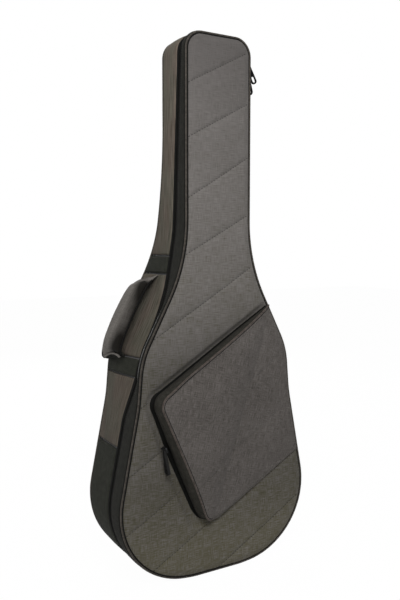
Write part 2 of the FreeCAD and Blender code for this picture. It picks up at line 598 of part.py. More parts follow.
def pull_tab(name):
    """Moulded tab: square root on the pin, flaring out to a round end with an eye."""
    body = doc.addObject("PartDesign::Body", name)
    sketch = body.newObject("Sketcher::SketchObject", f"{name}_sketch")
    plane = [feature for feature in body.Origin.OriginFeatures if feature.Role == "XY_Plane"][0]
    sketch.AttachmentSupport = [(plane, "")]
    sketch.MapMode = "FlatFace"

    def keep(arc, centre, centre_name, radius, radius_name):
        sketch.addConstraint(Sketcher.Constraint("PointOnObject", arc, CENTRE, Z_AXIS))
        drive(sketch, "DistanceY", (ORIGIN, START, arc, CENTRE), centre, centre_name)
        drive(sketch, "Radius", (arc,), radius, radius_name)

    def draw(*corners):
        return sketch.addGeometry(Part.LineSegment(*(V(x, y, 0) for x, y in corners)), False)

    def bow(centre, radius, start, stop):
        circle = Part.Circle(V(0, centre, 0), V(0, 0, 1), radius)
        return sketch.addGeometry(Part.ArcOfCircle(circle, start, stop), False)

    def touch(*pairs):
        for kind, first, second in pairs:
            sketch.addConstraint(Sketcher.Constraint(kind, first, END, second, START))

    root, end, eye = D["pull_root"] / 2, D["pull_width"] / 2, D["pull_eye_width"] / 2
    far = D["pull_length"] - end
    span = math.hypot(root, far + root)
    lean = math.atan2(far + root, -root) - math.asin(end / span)
    tip = (end * math.sin(lean), far - end * math.cos(lean))
    foot = draw((-root, -root), (root, -root))
    right = draw((root, -root), tip)
    crown = bow(far, end, lean - math.pi / 2, 3 * math.pi / 2 - lean)
    left = draw((-tip[0], tip[1]), (-root, -root))
    touch(("Coincident", foot, right), ("Tangent", right, crown), ("Tangent", crown, left),
          ("Coincident", left, foot))
    for which, side, half in ((START, -root, "-pull_root / 2"), (END, root, "pull_root / 2")):
        drive(sketch, "DistanceX", (ORIGIN, START, foot, which), side, half)
        drive(sketch, "DistanceY", (ORIGIN, START, foot, which), -root, "-pull_root / 2")
    keep(crown, far, "pull_length - pull_width / 2", end, "pull_width / 2")
    near = far - D["pull_eye_length"] + 2 * eye
    low = bow(near, eye, math.pi, 2 * math.pi)
    rise = draw((eye, near), (eye, far))
    high = bow(far, eye, 0, math.pi)
    drop = draw((-eye, far), (-eye, near))
    touch(("Tangent", low, rise), ("Tangent", rise, high), ("Tangent", high, drop), ("Tangent", drop, low))
    keep(low, near, "pull_length - pull_width / 2 - pull_eye_length + pull_eye_width", eye,
         "pull_eye_width / 2")
    keep(high, far, "pull_length - pull_width / 2", eye, "pull_eye_width / 2")
    pad = body.newObject("PartDesign::Pad", f"{name}_pad")
    pad.Profile = sketch
    pad.Midplane = True
    bind(pad, Length="pull_thick")
    cross_plane = [feature for feature in body.Origin.OriginFeatures if feature.Role == "YZ_Plane"][0]
    bore = body.newObject("Sketcher::SketchObject", f"{name}_bore_sketch")
    bore.AttachmentSupport = [(cross_plane, "")]
    bore.MapMode = "FlatFace"
    ring_line = bore.addGeometry(Part.Circle(V(0, 0, 0), V(0, 0, 1), D["pin_radius"]), False)
    bore.addConstraint(Sketcher.Constraint("Coincident", ring_line, CENTRE, ORIGIN, START))
    drive(bore, "Radius", (ring_line,), D["pin_radius"] + D["fit_gap"], "pin_radius + fit_gap")
    hole = body.newObject("PartDesign::Pocket", f"{name}_bore")
    hole.Profile = bore
    hole.Type = "ThroughAll"
    hole.Midplane = True
    return body


# ---------------------------------------------------------------- padding and straps
def inner_padding():
    """Neck cradle with its strap, tail block and head pad, all against the lining."""
    hollow = common("hollow", bag("hollow", "block_out"), before_back("hollow", "block_out"))
    block = box("cradle_block", ("-cradle_half", "cradle_half"), ("cradle_front", BIG),
                ("cradle_base", "cradle_top"))
    slot = box("neck_slot_cut", ("-neck_slot", "neck_slot"),
               ("cradle_front - past", "cradle_front + neck_slot_depth"),
               ("cradle_base - past", "cradle_top + past"))
    node("neck_cradle", cut("neck_cradle", common("cradle_solid", block, hollow), slot))
    strap_y = "cradle_front - fit_gap"
    middle = "(cradle_base + cradle_top) / 2"
    node("neck_strap", box("neck_strap", ("neck_strap_inset - cradle_half", "cradle_half - neck_strap_inset"),
                           (f"{strap_y} - neck_strap_thick", strap_y),
                           (f"{middle} - neck_strap_width / 2", f"{middle} + neck_strap_width / 2")))
    node("tail_block", common("tail_block", hollow, box("tail_zone", ("-tail_half", "tail_half"),
                              ("pad_front", BIG), (0, "block_out + tail_thick"))))
    node("head_pad", common("head_pad", hollow, box("head_zone", WIDE, ("parting_top + head_pad_step", BIG),
                            ("bag_height - block_out - head_pad_thick", "bag_height"))))


def back_straps():
    """Two padded carrying straps, each on a ladder lock, and the yoke that holds their tops."""
    face = "back + fit_gap"
    for word, sign in (("left", "-"), ("right", "")):
        def x(expression):
            return f"{sign}({expression})"

        def across(half):
            """Both edges of what is centred on the strap's low end, in rising order."""
            edges = (x(f"strap_low_x - {half}"), x(f"strap_low_x + {half}"))
            return edges[::-1] if sign else edges

        def slab(name, corners, thick, radius=None, base=face):
            order = corners if sign else corners[::-1]
            flat = polygon(f"{name}_line", FRONT_PLANE, order)
            if radius:
                flat = rounded(name, flat, radius)
            return extrude(name, flat, V(0, 1, 0), base, f"{base} + {thick}")

        def fold_over(name, low, high):
            """Webbing folded round a bar of the buckle that lies between low and high."""
            near, far = "buckle_back - fit_gap", "buckle_back + buckle_thick + fit_gap"
            foot, roof = f"{low} - fit_gap", f"{high} + fit_gap"
            hole = box(f"{name}_hole", across("(web_width / 2 + past)"), (near, far), (foot, roof))
            around = box(f"{name}_around", across(web), (f"{near} - web_thick", f"{far} + web_thick"),
                         (f"{foot} - web_thick", f"{roof} + web_thick"))
            return cut(f"{name}_band", around, hole)

        half = "strap_width / 2"
        web = "web_width / 2"
        node(f"strap_pad_{word}", slab(f"strap_pad_{word}", [
            (x(f"strap_spread - {half}"), "strap_top"), (x(f"strap_low_x - {half}"), "strap_low"),
            (x(f"strap_low_x + {half}"), "strap_low"), (x(f"strap_spread + {half}"), "strap_top")],
            "strap_thick", "strap_corner"))
        node(f"strap_tab_{word}", fold_over(f"strap_tab_{word}", "buckle_top - buckle_rail", "buckle_top"))
        run = slab(f"web_run_{word}", [
            (x(f"strap_low_x - {web}"), "buckle_base"), (x(f"anchor_x - {web}"), "anchor_z + fit_gap"),
            (x(f"anchor_x + {web}"), "anchor_z + fit_gap"), (x(f"strap_low_x + {web}"), "buckle_base")],
            "web_thick")
        rise = box(f"web_rise_{word}", across(web), (face, f"{face} + web_thick"),
                   ("buckle_base", "buckle_bar"))
        wrap = fold_over(f"web_fold_{word}", "buckle_bar - buckle_rail", "buckle_bar")
        node(f"strap_webbing_{word}", fuse(f"strap_webbing_{word}", run, rise, wrap))
        frame, mitre = "(web_width / 2 + fit_gap + buckle_rail)", "buckle_corner"
        block = slab(f"buckle_block_{word}", [
            (x(f"strap_low_x - {frame}"), "buckle_top"),
            (x(f"strap_low_x - {frame}"), f"buckle_base + {mitre}"),
            (x(f"strap_low_x - {frame} + {mitre}"), "buckle_base"),
            (x(f"strap_low_x + {frame} - {mitre}"), "buckle_base"),
            (x(f"strap_low_x + {frame}"), f"buckle_base + {mitre}"),
            (x(f"strap_low_x + {frame}"), "buckle_top")],
            "buckle_thick", base="buckle_back")
        slots = []
        for high in ("buckle_top - buckle_rail", "buckle_bar - buckle_rail"):
            slots.append(box(f"buckle_slot_{word}", across("(web_width / 2 + fit_gap)"),
                             ("buckle_back - past", "buckle_back + buckle_thick + past"),
                             (f"{high} - buckle_slot", high)))
        node(f"strap_buckle_{word}", cut(f"strap_buckle_{word}", block, fuse(f"buckle_slots_{word}", *slots)))
        node(f"strap_anchor_{word}", slab(f"strap_anchor_{word}", [
            (x(f"anchor_x - {web}"), "anchor_z"), (x(f"anchor_x - {web}"), "anchor_z - anchor_height"),
            (x(f"anchor_x + anchor_length / 2"), "anchor_z - anchor_height / 2"),
            (x(f"anchor_x + {web}"), "anchor_z")], "anchor_thick"))
    yoke_low, yoke_high = "strap_top + fit_gap", "back_bend - yoke_margin"
    flat = polygon("yoke_line", FRONT_PLANE, [("-strap_spread - strap_width / 2", yoke_low),
                   ("strap_spread + strap_width / 2", yoke_low), ("strap_spread", yoke_high),
                   ("-strap_spread", yoke_high)])
    node("strap_yoke", extrude("strap_yoke", flat, V(0, 1, 0), face, f"{face} + yoke_thick"))


def hanging_loop():
    """Webbing loop at the back of the head."""
    def loop(name, inset):
        flat = polygon(name, SIDE_PLANE, [
            ("head_back - loop_stand", f"loop_place + ({inset})"),
            ("head_back + loop_stand - (" + inset + ")", f"loop_place + ({inset})"),
            ("head_back + loop_stand - (" + inset + ")", f"loop_place + loop_drop - ({inset})"),
            ("head_back - loop_stand", f"loop_place + loop_drop - ({inset})")])
        line = rounded(name, flat, f"loop_stand / 2 - ({inset}) / 2")
        return extrude(f"{name}_solid", line, V(1, 0, 0), "-loop_width / 2", "loop_width / 2")

    band = cut("loop_band", loop("loop_outer", "0"), loop("loop_inner", "loop_thick"))
    node("hanging_loop", cut("hanging_loop", band, before_back("loop_wall", "-fit_gap")))


outline = bag_outline()
back_curve = back_profile()
outer_fabric()
tub_boards()
lid_boards()
zip_and_hinge()
handle_pivot, handle_axis = side_handle()
left, low, top, fold, across, pocket_frame = front_pocket()
inner_padding()
back_straps()
hanging_loop()


def report(name, pivot, axis, track=None):
    """Print a joint's place and directions."""
    print(name, "pivot", pivot, "axis", axis, "track", track)


# main zip: both sliders on the straight of the neck, right side
climb = V(0, D["parting_top"] - D["parting"], D["bag_height"] + D["overrun"] - D["parting_bend"]).normalize()
for word in ("high", "low"):
    along = (D[f"{word}_slider"] - D["parting_bend"]) / climb.z
    spot = V(D["neck_half"], D["parting"], D["parting_bend"]) + climb * along
    pivot, axis = slider_and_pull(f"slider_{word}", f"pull_{word}", spot, climb * -1, V(1, 0, 0), -1,
                                  "-tape_recess", D[f"{word}_pull_tilt"])
    report(word, pivot, axis, climb)

# pocket zip: one slider on the lower left edge
edge = (low - left).normalize()
fall_rate = 0.5 * (D["pocket_rise"] - D["pocket_fold_rise"]) / D["pocket_swell"]


def coil_point(spot):
    """A point of the pocket's edge, raised to its zip line."""
    swell = (spot - low).dot(across)
    return V(spot.x, D["front"] - fall_rate * swell - D["pocket_fold_rise"] / 2, spot.z)


start = coil_point(left + edge * D["pocket_slider_place"])
down = (coil_point(left + edge * (D["pocket_slider_place"] + D["slider_length"])) - start).normalize()
out = V(0, 1, 0).cross(edge)
out = out if out.x < 0 else out * -1
out = (out - down * out.dot(down)).normalize()
pivot, axis = slider_and_pull("pocket_slider", "pocket_pull", start, down, out, 1, "0",
                              D["pocket_pull_tilt"])
report("pocket", pivot, axis, down)
report("fold", low + V(0, D["front"] - D["pocket_fold_rise"], 0), fold)
report("grip", handle_pivot, handle_axis)
report("lid", V(D["bout_half"] + D["hinge_stand"], D["parting"], D["bout_centre"]), V(0, 0, 1))
strap_end = V(D["neck_strap_inset"] - D["cradle_half"], D["cradle_front"] - D["fit_gap"], D["cradle_base"])
report("strap", strap_end, V(0, 0, -1))

doc.recompute()
broken = [thing.Name for thing in doc.Objects if {"Invalid", "Error"} & set(thing.State)]
if broken:
    raise RuntimeError(f"objects failed: {broken}")
for name, made in NODES.items():
    shape = made.Shape
    if shape.isNull() or not shape.isValid() or not shape.Solids:
        raise RuntimeError(f"{name} has no sound solid")
    shape.exportStep(f"parts/{name}.step")
    print(f"{name:24s} solids {len(shape.Solids)} vol {shape.Volume:.0f}")
print(len(NODES), "nodes")
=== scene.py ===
"""Looks of the padded gig bag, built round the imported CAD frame.

Row frame in metres: +Z up the neck, the lid and its pocket face -Y, the handle is on -X and the
lid hinges on +X. Most cloth pieces are closed forms lofted along the bag's outline or across it;
the grip, the strap pads and the blocks inside are stuffed by cloth simulation, and the sliders'
pulls are remade from their CAD solids.
"""
import math
from bisect import bisect_left
from itertools import accumulate

import bmesh
import bpy
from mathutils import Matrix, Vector, kdtree, noise


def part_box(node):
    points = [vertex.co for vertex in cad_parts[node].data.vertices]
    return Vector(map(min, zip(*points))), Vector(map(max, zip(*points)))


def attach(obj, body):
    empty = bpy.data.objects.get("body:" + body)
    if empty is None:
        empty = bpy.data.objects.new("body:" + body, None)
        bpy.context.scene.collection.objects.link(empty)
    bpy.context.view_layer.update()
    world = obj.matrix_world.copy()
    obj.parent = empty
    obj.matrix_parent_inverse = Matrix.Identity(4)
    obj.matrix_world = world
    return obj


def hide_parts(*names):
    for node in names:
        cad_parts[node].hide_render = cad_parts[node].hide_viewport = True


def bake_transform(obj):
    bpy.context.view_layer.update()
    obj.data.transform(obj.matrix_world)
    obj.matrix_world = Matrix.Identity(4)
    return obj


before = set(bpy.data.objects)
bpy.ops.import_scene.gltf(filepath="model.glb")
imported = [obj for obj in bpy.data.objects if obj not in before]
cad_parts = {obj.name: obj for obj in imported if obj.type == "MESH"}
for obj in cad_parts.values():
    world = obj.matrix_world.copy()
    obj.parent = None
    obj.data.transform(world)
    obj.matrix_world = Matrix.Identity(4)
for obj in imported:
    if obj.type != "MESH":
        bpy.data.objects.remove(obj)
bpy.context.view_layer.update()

SCENE = bpy.context.scene
TO_FRONT, TO_BACK = Vector((0, -1, 0)), Vector((0, 1, 0))


# ---------------------------------------------------------------- camera and studio
def make_camera():
    """The photograph's view: a low three-quarter view from the front left."""
    data = bpy.data.cameras.new("camera")
    data.lens = 40.3
    camera = bpy.data.objects.new("camera", data)
    SCENE.collection.objects.link(camera)
    camera.location = (-0.715, -1.229, 0.679)
    heading, pitch = math.radians(30.30), math.radians(-4.75)
    camera.rotation_euler = (math.pi / 2 + pitch, 0, -heading)
    SCENE.camera = camera


make_camera()


def seen_by_camera(tree):
    """1 for rays that show the background: from the camera, or off a gloss or through glass."""
    path = tree.nodes.new("ShaderNodeLightPath")
    total = path.outputs["Is Camera Ray"]
    for ray in ("Is Glossy Ray", "Is Transmission Ray"):
        add = tree.nodes.new("ShaderNodeMath")
        add.operation, add.use_clamp = "ADD", True
        tree.links.new(total, add.inputs[0])
        tree.links.new(path.outputs[ray], add.inputs[1])
        total = add.outputs[0]
    return total


def white_where_seen(tree, plain, kind, share, output):
    """Mix white of this kind over a plain shader, for the rays that show the background."""
    white, mix, part = (tree.nodes.new(each) for each in (kind, "ShaderNodeMixShader", "ShaderNodeMath"))
    white.inputs["Color"].default_value = (1, 1, 1, 1)
    part.operation = "MULTIPLY"
    part.inputs[1].default_value = share
    for source, target in ((seen_by_camera(tree), part.inputs[0]), (part.outputs[0], mix.inputs[0]),
                           (plain.outputs[0], mix.inputs[1]), (white.outputs[0], mix.inputs[2]),
                           (mix.outputs[0], tree.nodes[output].inputs["Surface"])):
        tree.links.new(source, target)


def make_floor():
    """White sweep that keeps the bag's soft shadow."""
    bpy.ops.mesh.primitive_plane_add(size=14)
    floor = bpy.context.object
    floor.name = "floor"
    mat = bpy.data.materials.new("floor")
    mat.use_nodes = True
    surface = mat.node_tree.nodes["Principled BSDF"]
    surface.inputs["Base Color"].default_value = (0.93, 0.93, 0.93, 1)
    surface.inputs["Roughness"].default_value = 1.0
    white_where_seen(mat.node_tree, surface, "ShaderNodeEmission", 0.985, "Material Output")
    floor.data.materials.append(mat)


def make_world(level):
    """Even fill light at level, and a white background where it is seen."""
    world = bpy.data.worlds.new("studio")
    SCENE.world = world
    world.use_nodes = True
    fill = world.node_tree.nodes["Background"]
    fill.inputs["Color"].default_value = (1, 1, 1, 1)
    fill.inputs["Strength"].default_value = level
    white_where_seen(world.node_tree, fill, "ShaderNodeBackground", 1.0, "World Output")


def make_lamp(name, place, target, size, power):
    data = bpy.data.lights.new(name, "AREA")
    data.shape = "DISK"
    data.size, data.energy = size, power
    lamp = bpy.data.objects.new(name, data)
    SCENE.collection.objects.link(lamp)
    lamp.location = place
    lamp.rotation_euler = (Vector(target) - Vector(place)).to_track_quat("-Z", "Y").to_euler()


make_floor()
make_world(0.22)
make_lamp("key", (-0.65, -1.40, 1.75), (0, 0, 0.75), 1.0, 38)
make_lamp("side", (-2.2, 0.4, 1.3), (0, 0, 0.6), 1.2, 6)
make_lamp("rim", (1.7, -0.6, 1.9), (0, 0, 0.8), 1.2, 6)
make_lamp("back", (0.8, 2.3, 1.5), (0, 0, 0.6), 1.4, 34)
SCENE.view_settings.view_transform = "Standard"


# ---------------------------------------------------------------- sizes shared with the CAD
HEIGHT = 1.090
FRONT, BACK, HEAD_BACK = -0.080, 0.080, 0.018
SKIN, PADDING, GAP, PIPING = 0.003, 0.0165, 0.0003, 0.004
PANEL_OUT = PIPING + GAP
PADDING_IN = SKIN + GAP + PADDING
BACK_BEND, BACK_FALL, BACK_DROP = 0.598, 0.692, 0.028
PARTING, PARTING_TOP, PARTING_BEND = -0.027, -0.0577, 0.620
TAPE_REACH, COIL_REACH = 0.0095, 0.003
HINGE_LOW, HINGE_HIGH = 0.070, 0.270
BASE_TOP, LOW_PATCH, HIGH_PATCH = 0.276, (0.416, 0.456), (0.619, 0.655)

# the outline's right half, bottom to top: centre x, centre z, radius, bulging out (1) or in (-1)
ARCS = ((0.046, 0.221, 0.221, 1), (0.0635, 0.158, 0.1565, 1), (0.479, 0.408, 0.300, -1),
        (0.013, 0.411, 0.164, 1), (0.411, 0.727, 0.335, -1), (0.039, 1.053, 0.037, 1))


# ---------------------------------------------------------------- small sums
def smooth(t):
    """0 below 0, 1 above 1, and an even S between."""
    t = min(1.0, max(0.0, t))
    return t * t * (3 - 2 * t)


def rolled(inside, reach):
    """1 at an edge, falling away to 0 at reach inside it."""
    return max(0.0, 1 - inside / reach) ** 2


def spread(low, high, count):
    """Count even steps from low to high, both ends included."""
    return [low + (high - low) * k / count for k in range(count + 1)]


def stretch(spots, s):
    """Which stretch of a rising list s falls in, and its share of the way along."""
    k = bisect_left(spots, s, 1, len(spots) - 1) - 1
    return k, (s - spots[k]) / (spots[k + 1] - spots[k] or 1)


def both_faces(count):
    """(face, place) round a flat section: out over face 1 from -1 to 1, and back under face -1."""
    return [(face, w) for face in (1, -1) for w in spread(-face, face, count)]


def turns(sides):
    """Angles of the corners of a round section."""
    return [2 * math.pi * k / sides for k in range(sides)]


def circle(out, y, size, sides):
    """Round section as (out, y) pairs."""
    return [(out + size * math.cos(a), y + size * math.sin(a)) for a in turns(sides)]


def arc(x, z, size, angles):
    """Places on an arc round (x, z): point and outward normal."""
    return [(x + size * math.cos(a), z + size * math.sin(a), math.cos(a), math.sin(a)) for a in angles]


# ---------------------------------------------------------------- the outline
class Station:
    """A place on a path: point and outward normal in the XZ plane, and distance along."""

    def __init__(self, x, z, nx, nz, s):
        self.x, self.z, self.nx, self.nz, self.s = x, z, nx, nz, s

    def at(self, out, y):
        return Vector((self.x + self.nx * out, y, self.z + self.nz * out))

    def inward(self, inset):
        """The (x, z) this far inside the path."""
        return self.x - self.nx * inset, self.z - self.nz * inset

    def facing(self):
        return Vector((self.nx, 0, self.nz))

    def mirrored(self, s):
        return Station(-self.x, self.z, -self.nx, self.nz, s)

    def toward(self, other, t):
        """The station a share t of the way to another."""
        return Station(*(p + (q - p) * t for p, q in zip(vars(self).values(), vars(other).values())))


def resample(rough, step):
    """Stations at an even step along rough (x, z, nx, nz) places."""
    spots = [0.0, *accumulate(math.hypot(b[0] - a[0], b[1] - a[1]) for a, b in zip(rough, rough[1:]))]
    stations = []
    for s in spread(0, spots[-1], max(2, round(spots[-1] / step))):
        k, t = stretch(spots, s)
        x, z, nx, nz = (p + (q - p) * t for p, q in zip(rough[k], rough[k + 1]))
        size = math.hypot(nx, nz)
        stations.append(Station(x, z, nx / size, nz / size, s))
    return stations


def half_outline(step):
    """Right half of the bag's outline, from the middle of the base to the middle of the head."""
    bends = [-math.pi / 2]
    for (ax, az, ar, asign), (bx, bz, br, bsign) in zip(ARCS, ARCS[1:]):
        span = math.hypot(bx - ax, bz - az)
        bends.append(math.atan2(bz - az, bx - ax) - math.acos((asign * ar - bsign * br) / span))
    bends.append(math.pi / 2)
    rough = [(0, 0, 0, -1)]
    for (cx, cz, r, sign), low, high in zip(ARCS, bends, bends[1:]):
        rough += arc(cx, cz, sign * r, spread(low, high, 24))
    rough.append((0, HEIGHT, 0, 1))
    return resample(rough, step)


HALF = half_outline(0.0035)
GIRTH = 2 * HALF[-1].s
LOOP = HALF + [st.mirrored(GIRTH - st.s) for st in HALF[-2:0:-1]]
LEFT = [st.mirrored(st.s) for st in HALF]


def between(stations, low, high):
    """The stretch of a one-sided path whose heights lie between low and high."""
    return [st for st in stations if low <= st.z <= high]


def half_width(z):
    """Half width of the outline at height z."""
    for a, b in zip(HALF, HALF[1:]):
        if a.z <= z <= b.z and b.z > a.z:
            return a.x + (b.x - a.x) * (z - a.z) / (b.z - a.z)
    return 0.0


def parting(z):
    """Depth of the zip line at height z."""
    climb = (PARTING_TOP - PARTING) / (HEIGHT + 0.01 - PARTING_BEND)
    return PARTING + max(0.0, z - PARTING_BEND) * climb


FALL = math.atan2(BACK_DROP, BACK_FALL - BACK_BEND)
BEND_RADIUS = (BACK - BACK_DROP - HEAD_BACK) / (1 - math.cos(FALL))
BEND_TOP = BACK_FALL + BEND_RADIUS * math.sin(FALL)


def back_face(z):
    """Depth of the back surface at height z."""
    if z <= BACK_BEND:
        return BACK
    if z <= BACK_FALL:
        return BACK - BACK_DROP * (z - BACK_BEND) / (BACK_FALL - BACK_BEND)
    if z <= BEND_TOP:
        return HEAD_BACK + BEND_RADIUS - math.sqrt(BEND_RADIUS**2 - (BEND_TOP - z)**2)
    return HEAD_BACK


# ---------------------------------------------------------------- mesh helpers
SAG_IN, SAG_FORWARD = 0.0125, 0.024
# the waist's rise and fall, each a height and how much higher it is complete
SAG_LOW, SAG_HIGH = (0.325, 0.130), (0.500, 0.180)


def sag(p):
    """The worn waist on the handle's side: its zip line is drawn inwards and towards the front."""
    if p.x > 0:
        return p
    share = smooth((p.z - SAG_LOW[0]) / SAG_LOW[1]) * (1 - smooth((p.z - SAG_HIGH[0]) / SAG_HIGH[1]))
    if share <= 0:
        return p
    held, fade = 0.003, 0.062
    before, behind = p.y - FRONT - held, p.y - PARTING
    depth = smooth(before / (PARTING - FRONT - 2 * held)) if behind < 0 else 1 - smooth(behind / fade)
    return p + Vector((SAG_IN, -SAG_FORWARD, 0)) * (share * depth)


def ripple(place, scale, seed=0.0):
    """Soft noise from -1 to 1 at a wavelength of about scale metres."""
    return noise.noise(Vector(place) / scale + Vector((seed, seed * 1.7, -seed)))


def link_up(name, mesh):
    """Object that shows a mesh."""
    piece = bpy.data.objects.new(name, mesh)
    SCENE.collection.objects.link(piece)
    return piece


def mesh_piece(name, points, faces, weave, mat):
    """Mesh object from points and faces, with cloth coordinates in metres for its weave."""
    mesh = bpy.data.meshes.new(name)
    mesh.from_pydata([tuple(p) for p in points], [], faces)
    mesh.validate()
    work = bmesh.new()
    work.from_mesh(mesh)
    bmesh.ops.recalc_face_normals(work, faces=work.faces)
    work.to_mesh(mesh)
    work.free()
    if weave:
        layer = mesh.attributes.new("weave", "FLOAT_VECTOR", "POINT")
        layer.data.foreach_set("vector", [c for uv in weave for c in (*uv, 0.0)])
    for face in mesh.polygons:
        face.use_smooth = True
    mesh.materials.append(mat)
    return link_up(name, mesh)


def loft(name, rows, mat, weave=None, ring=False):
    """Closed form from equal rows of points, each row a closed section; ring joins last to first."""
    count, size = len(rows), len(rows[0])
    points = [p for row in rows for p in row]
    faces = []
    for i in range(count if ring else count - 1):
        a, b = i * size, (i + 1) % count * size
        for j in range(size):
            k = (j + 1) % size
            faces.append((a + j, b + j, b + k, a + k))
    if not ring:
        faces.append(tuple(range(size)))
        faces.append(tuple(range((count - 1) * size, count * size)))
    return mesh_piece(name, points, faces, weave, mat)


def sweep(name, stations, section, mat, ring=False):
    """Loft a section along stations; section(station) gives (out, y) pairs round the form."""
    rows, weave = [], []
    for st in stations:
        pairs = section(st)
        rows.append([sag(st.at(out, y)) for out, y in pairs])
        weave += [(st.s, y) for out, y in pairs]
    return loft(name, rows, mat, weave, ring)


def wall(name, stations, low, high, outside, thick, mat, columns, roll, ring=False):
    """Cloth strip round the bag between depths low(z) and high(z).

    outside(station, t) is how far the cloth stands proud, and its edges roll in by roll.
    """
    roll_width = 0.004

    def section(st):
        near, far = low(st.z), high(st.z)
        outer, inner = [], []
        for t in spread(0, 1, columns):
            y = near + (far - near) * t
            dip = roll * rolled(min(t, 1 - t) * (far - near), roll_width)
            outer.append((outside(st, t) - dip, y))
            inner.append((-thick, y))
        return outer + inner[::-1]
    return sweep(name, stations, section, mat, ring)


def tube(name, stations, out, y, radius, mat, sides=10):
    """Round cord along a ring of stations, a little uneven."""
    wobble, wave = 0.05, 0.006

    def section(st):
        depth = y(st.z) if callable(y) else y
        size = (radius(st) if callable(radius) else radius) * (1 + wobble * ripple((st.s, 0, depth), wave))
        return circle(out, depth, size, sides)
    return sweep(name, stations, section, mat, True)


def sheet(name, lines, places, faces, lay, mat):
    """Closed form over a grid: faces(line, place) gives its two points there, and lay(point) cloth coordinates."""
    rows, weave = [], []
    for line in lines:
        pairs = [faces(line, place) for place in places]
        rows.append([p for p, _ in pairs] + [q for _, q in pairs[::-1]])
        weave += [lay(p) for p in rows[-1]] if lay else []
    return loft(name, rows, mat, weave)


def slab(name, stations, inset, face, foot, mat, columns, turned=False):
    """Closed sheet across the outline: face(x, z) and foot(x, z) are its two depths."""
    narrowest = 0.0005

    def faces(st, across):
        edge, z = st.inward(inset)
        x = max(edge, narrowest) * across
        return Vector((x, face(x, z), z)), Vector((x, foot(x, z), z))
    return sheet(name, stations, spread(-1, 1, columns), faces,
                 lambda p: (p.z, p.x) if turned else (p.x, p.z), mat)


def stitches(name, path, mat, length=0.0032, gap=0.0014, radius=0.00045):
    """Row of raised thread stitches along a path of (point, outward) pairs, as one mesh."""
    points, faces = [], []
    run, sides, ahead_by = 0.0, 5, 0.0005
    spots = [0.0, *accumulate((b - a).length for (a, _), (b, _) in zip(path, path[1:]))]

    def place(s):
        k, t = stretch(spots, s)
        return [p.lerp(q, t) for p, q in zip(path[k], path[k + 1])]

    while run + length < spots[-1]:
        rings = []
        for t, swell, lift in ((0, 0.35, -0.5), (0.25, 1, 0.25), (0.75, 1, 0.25), (1, 0.35, -0.5)):
            point, up = place(run + length * t)
            ahead, _ = place(min(spots[-1], run + length * t + ahead_by))
            along = (ahead - point).normalized() if (ahead - point).length > 1e-9 else Vector((0, 0, 1))
            side = along.cross(up).normalized()
            rings.append(range(len(points), len(points) + sides))
            points += [point + up * y + side * x for x, y in circle(0, radius * lift, radius * swell, sides)]
        for low, high in zip(rings, rings[1:]):
            faces += [(low[k], low[(k + 1) % sides], high[(k + 1) % sides], high[k]) for k in range(sides)]
        faces += [tuple(rings[0]), tuple(rings[-1])]
        run += length + gap
    return mesh_piece(name, points, faces, None, mat)


def settle(piece, body, slot, *nodes):
    """Put a piece on its body and hide the CAD nodes that it stands for."""
    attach(piece, body)
    if nodes:
        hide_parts(*nodes)


def flex(piece, nodes, ends):
    """Hide the CAD nodes that a piece between two bodies stands for, and fix its mesh where it stands."""
    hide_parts(*nodes)
    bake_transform(piece)


def sew(name, path, mat, body, slot, *measures):
    """Stitches that belong to a body's cloth."""
    settle(stitches(name, path, mat, *measures), body, slot)


# ---------------------------------------------------------------- materials
def srgb(*values):
    """Linear colour of a value as the eye reads it, 0 to 255."""
    shares = [value / 255 for value in values]
    return (*(v / 12.92 if v <= 0.04045 else ((v + 0.055) / 1.055) ** 2.4 for v in shares), 1.0)


BLACK, WHITE = (0, 0, 0), (255, 255, 255)


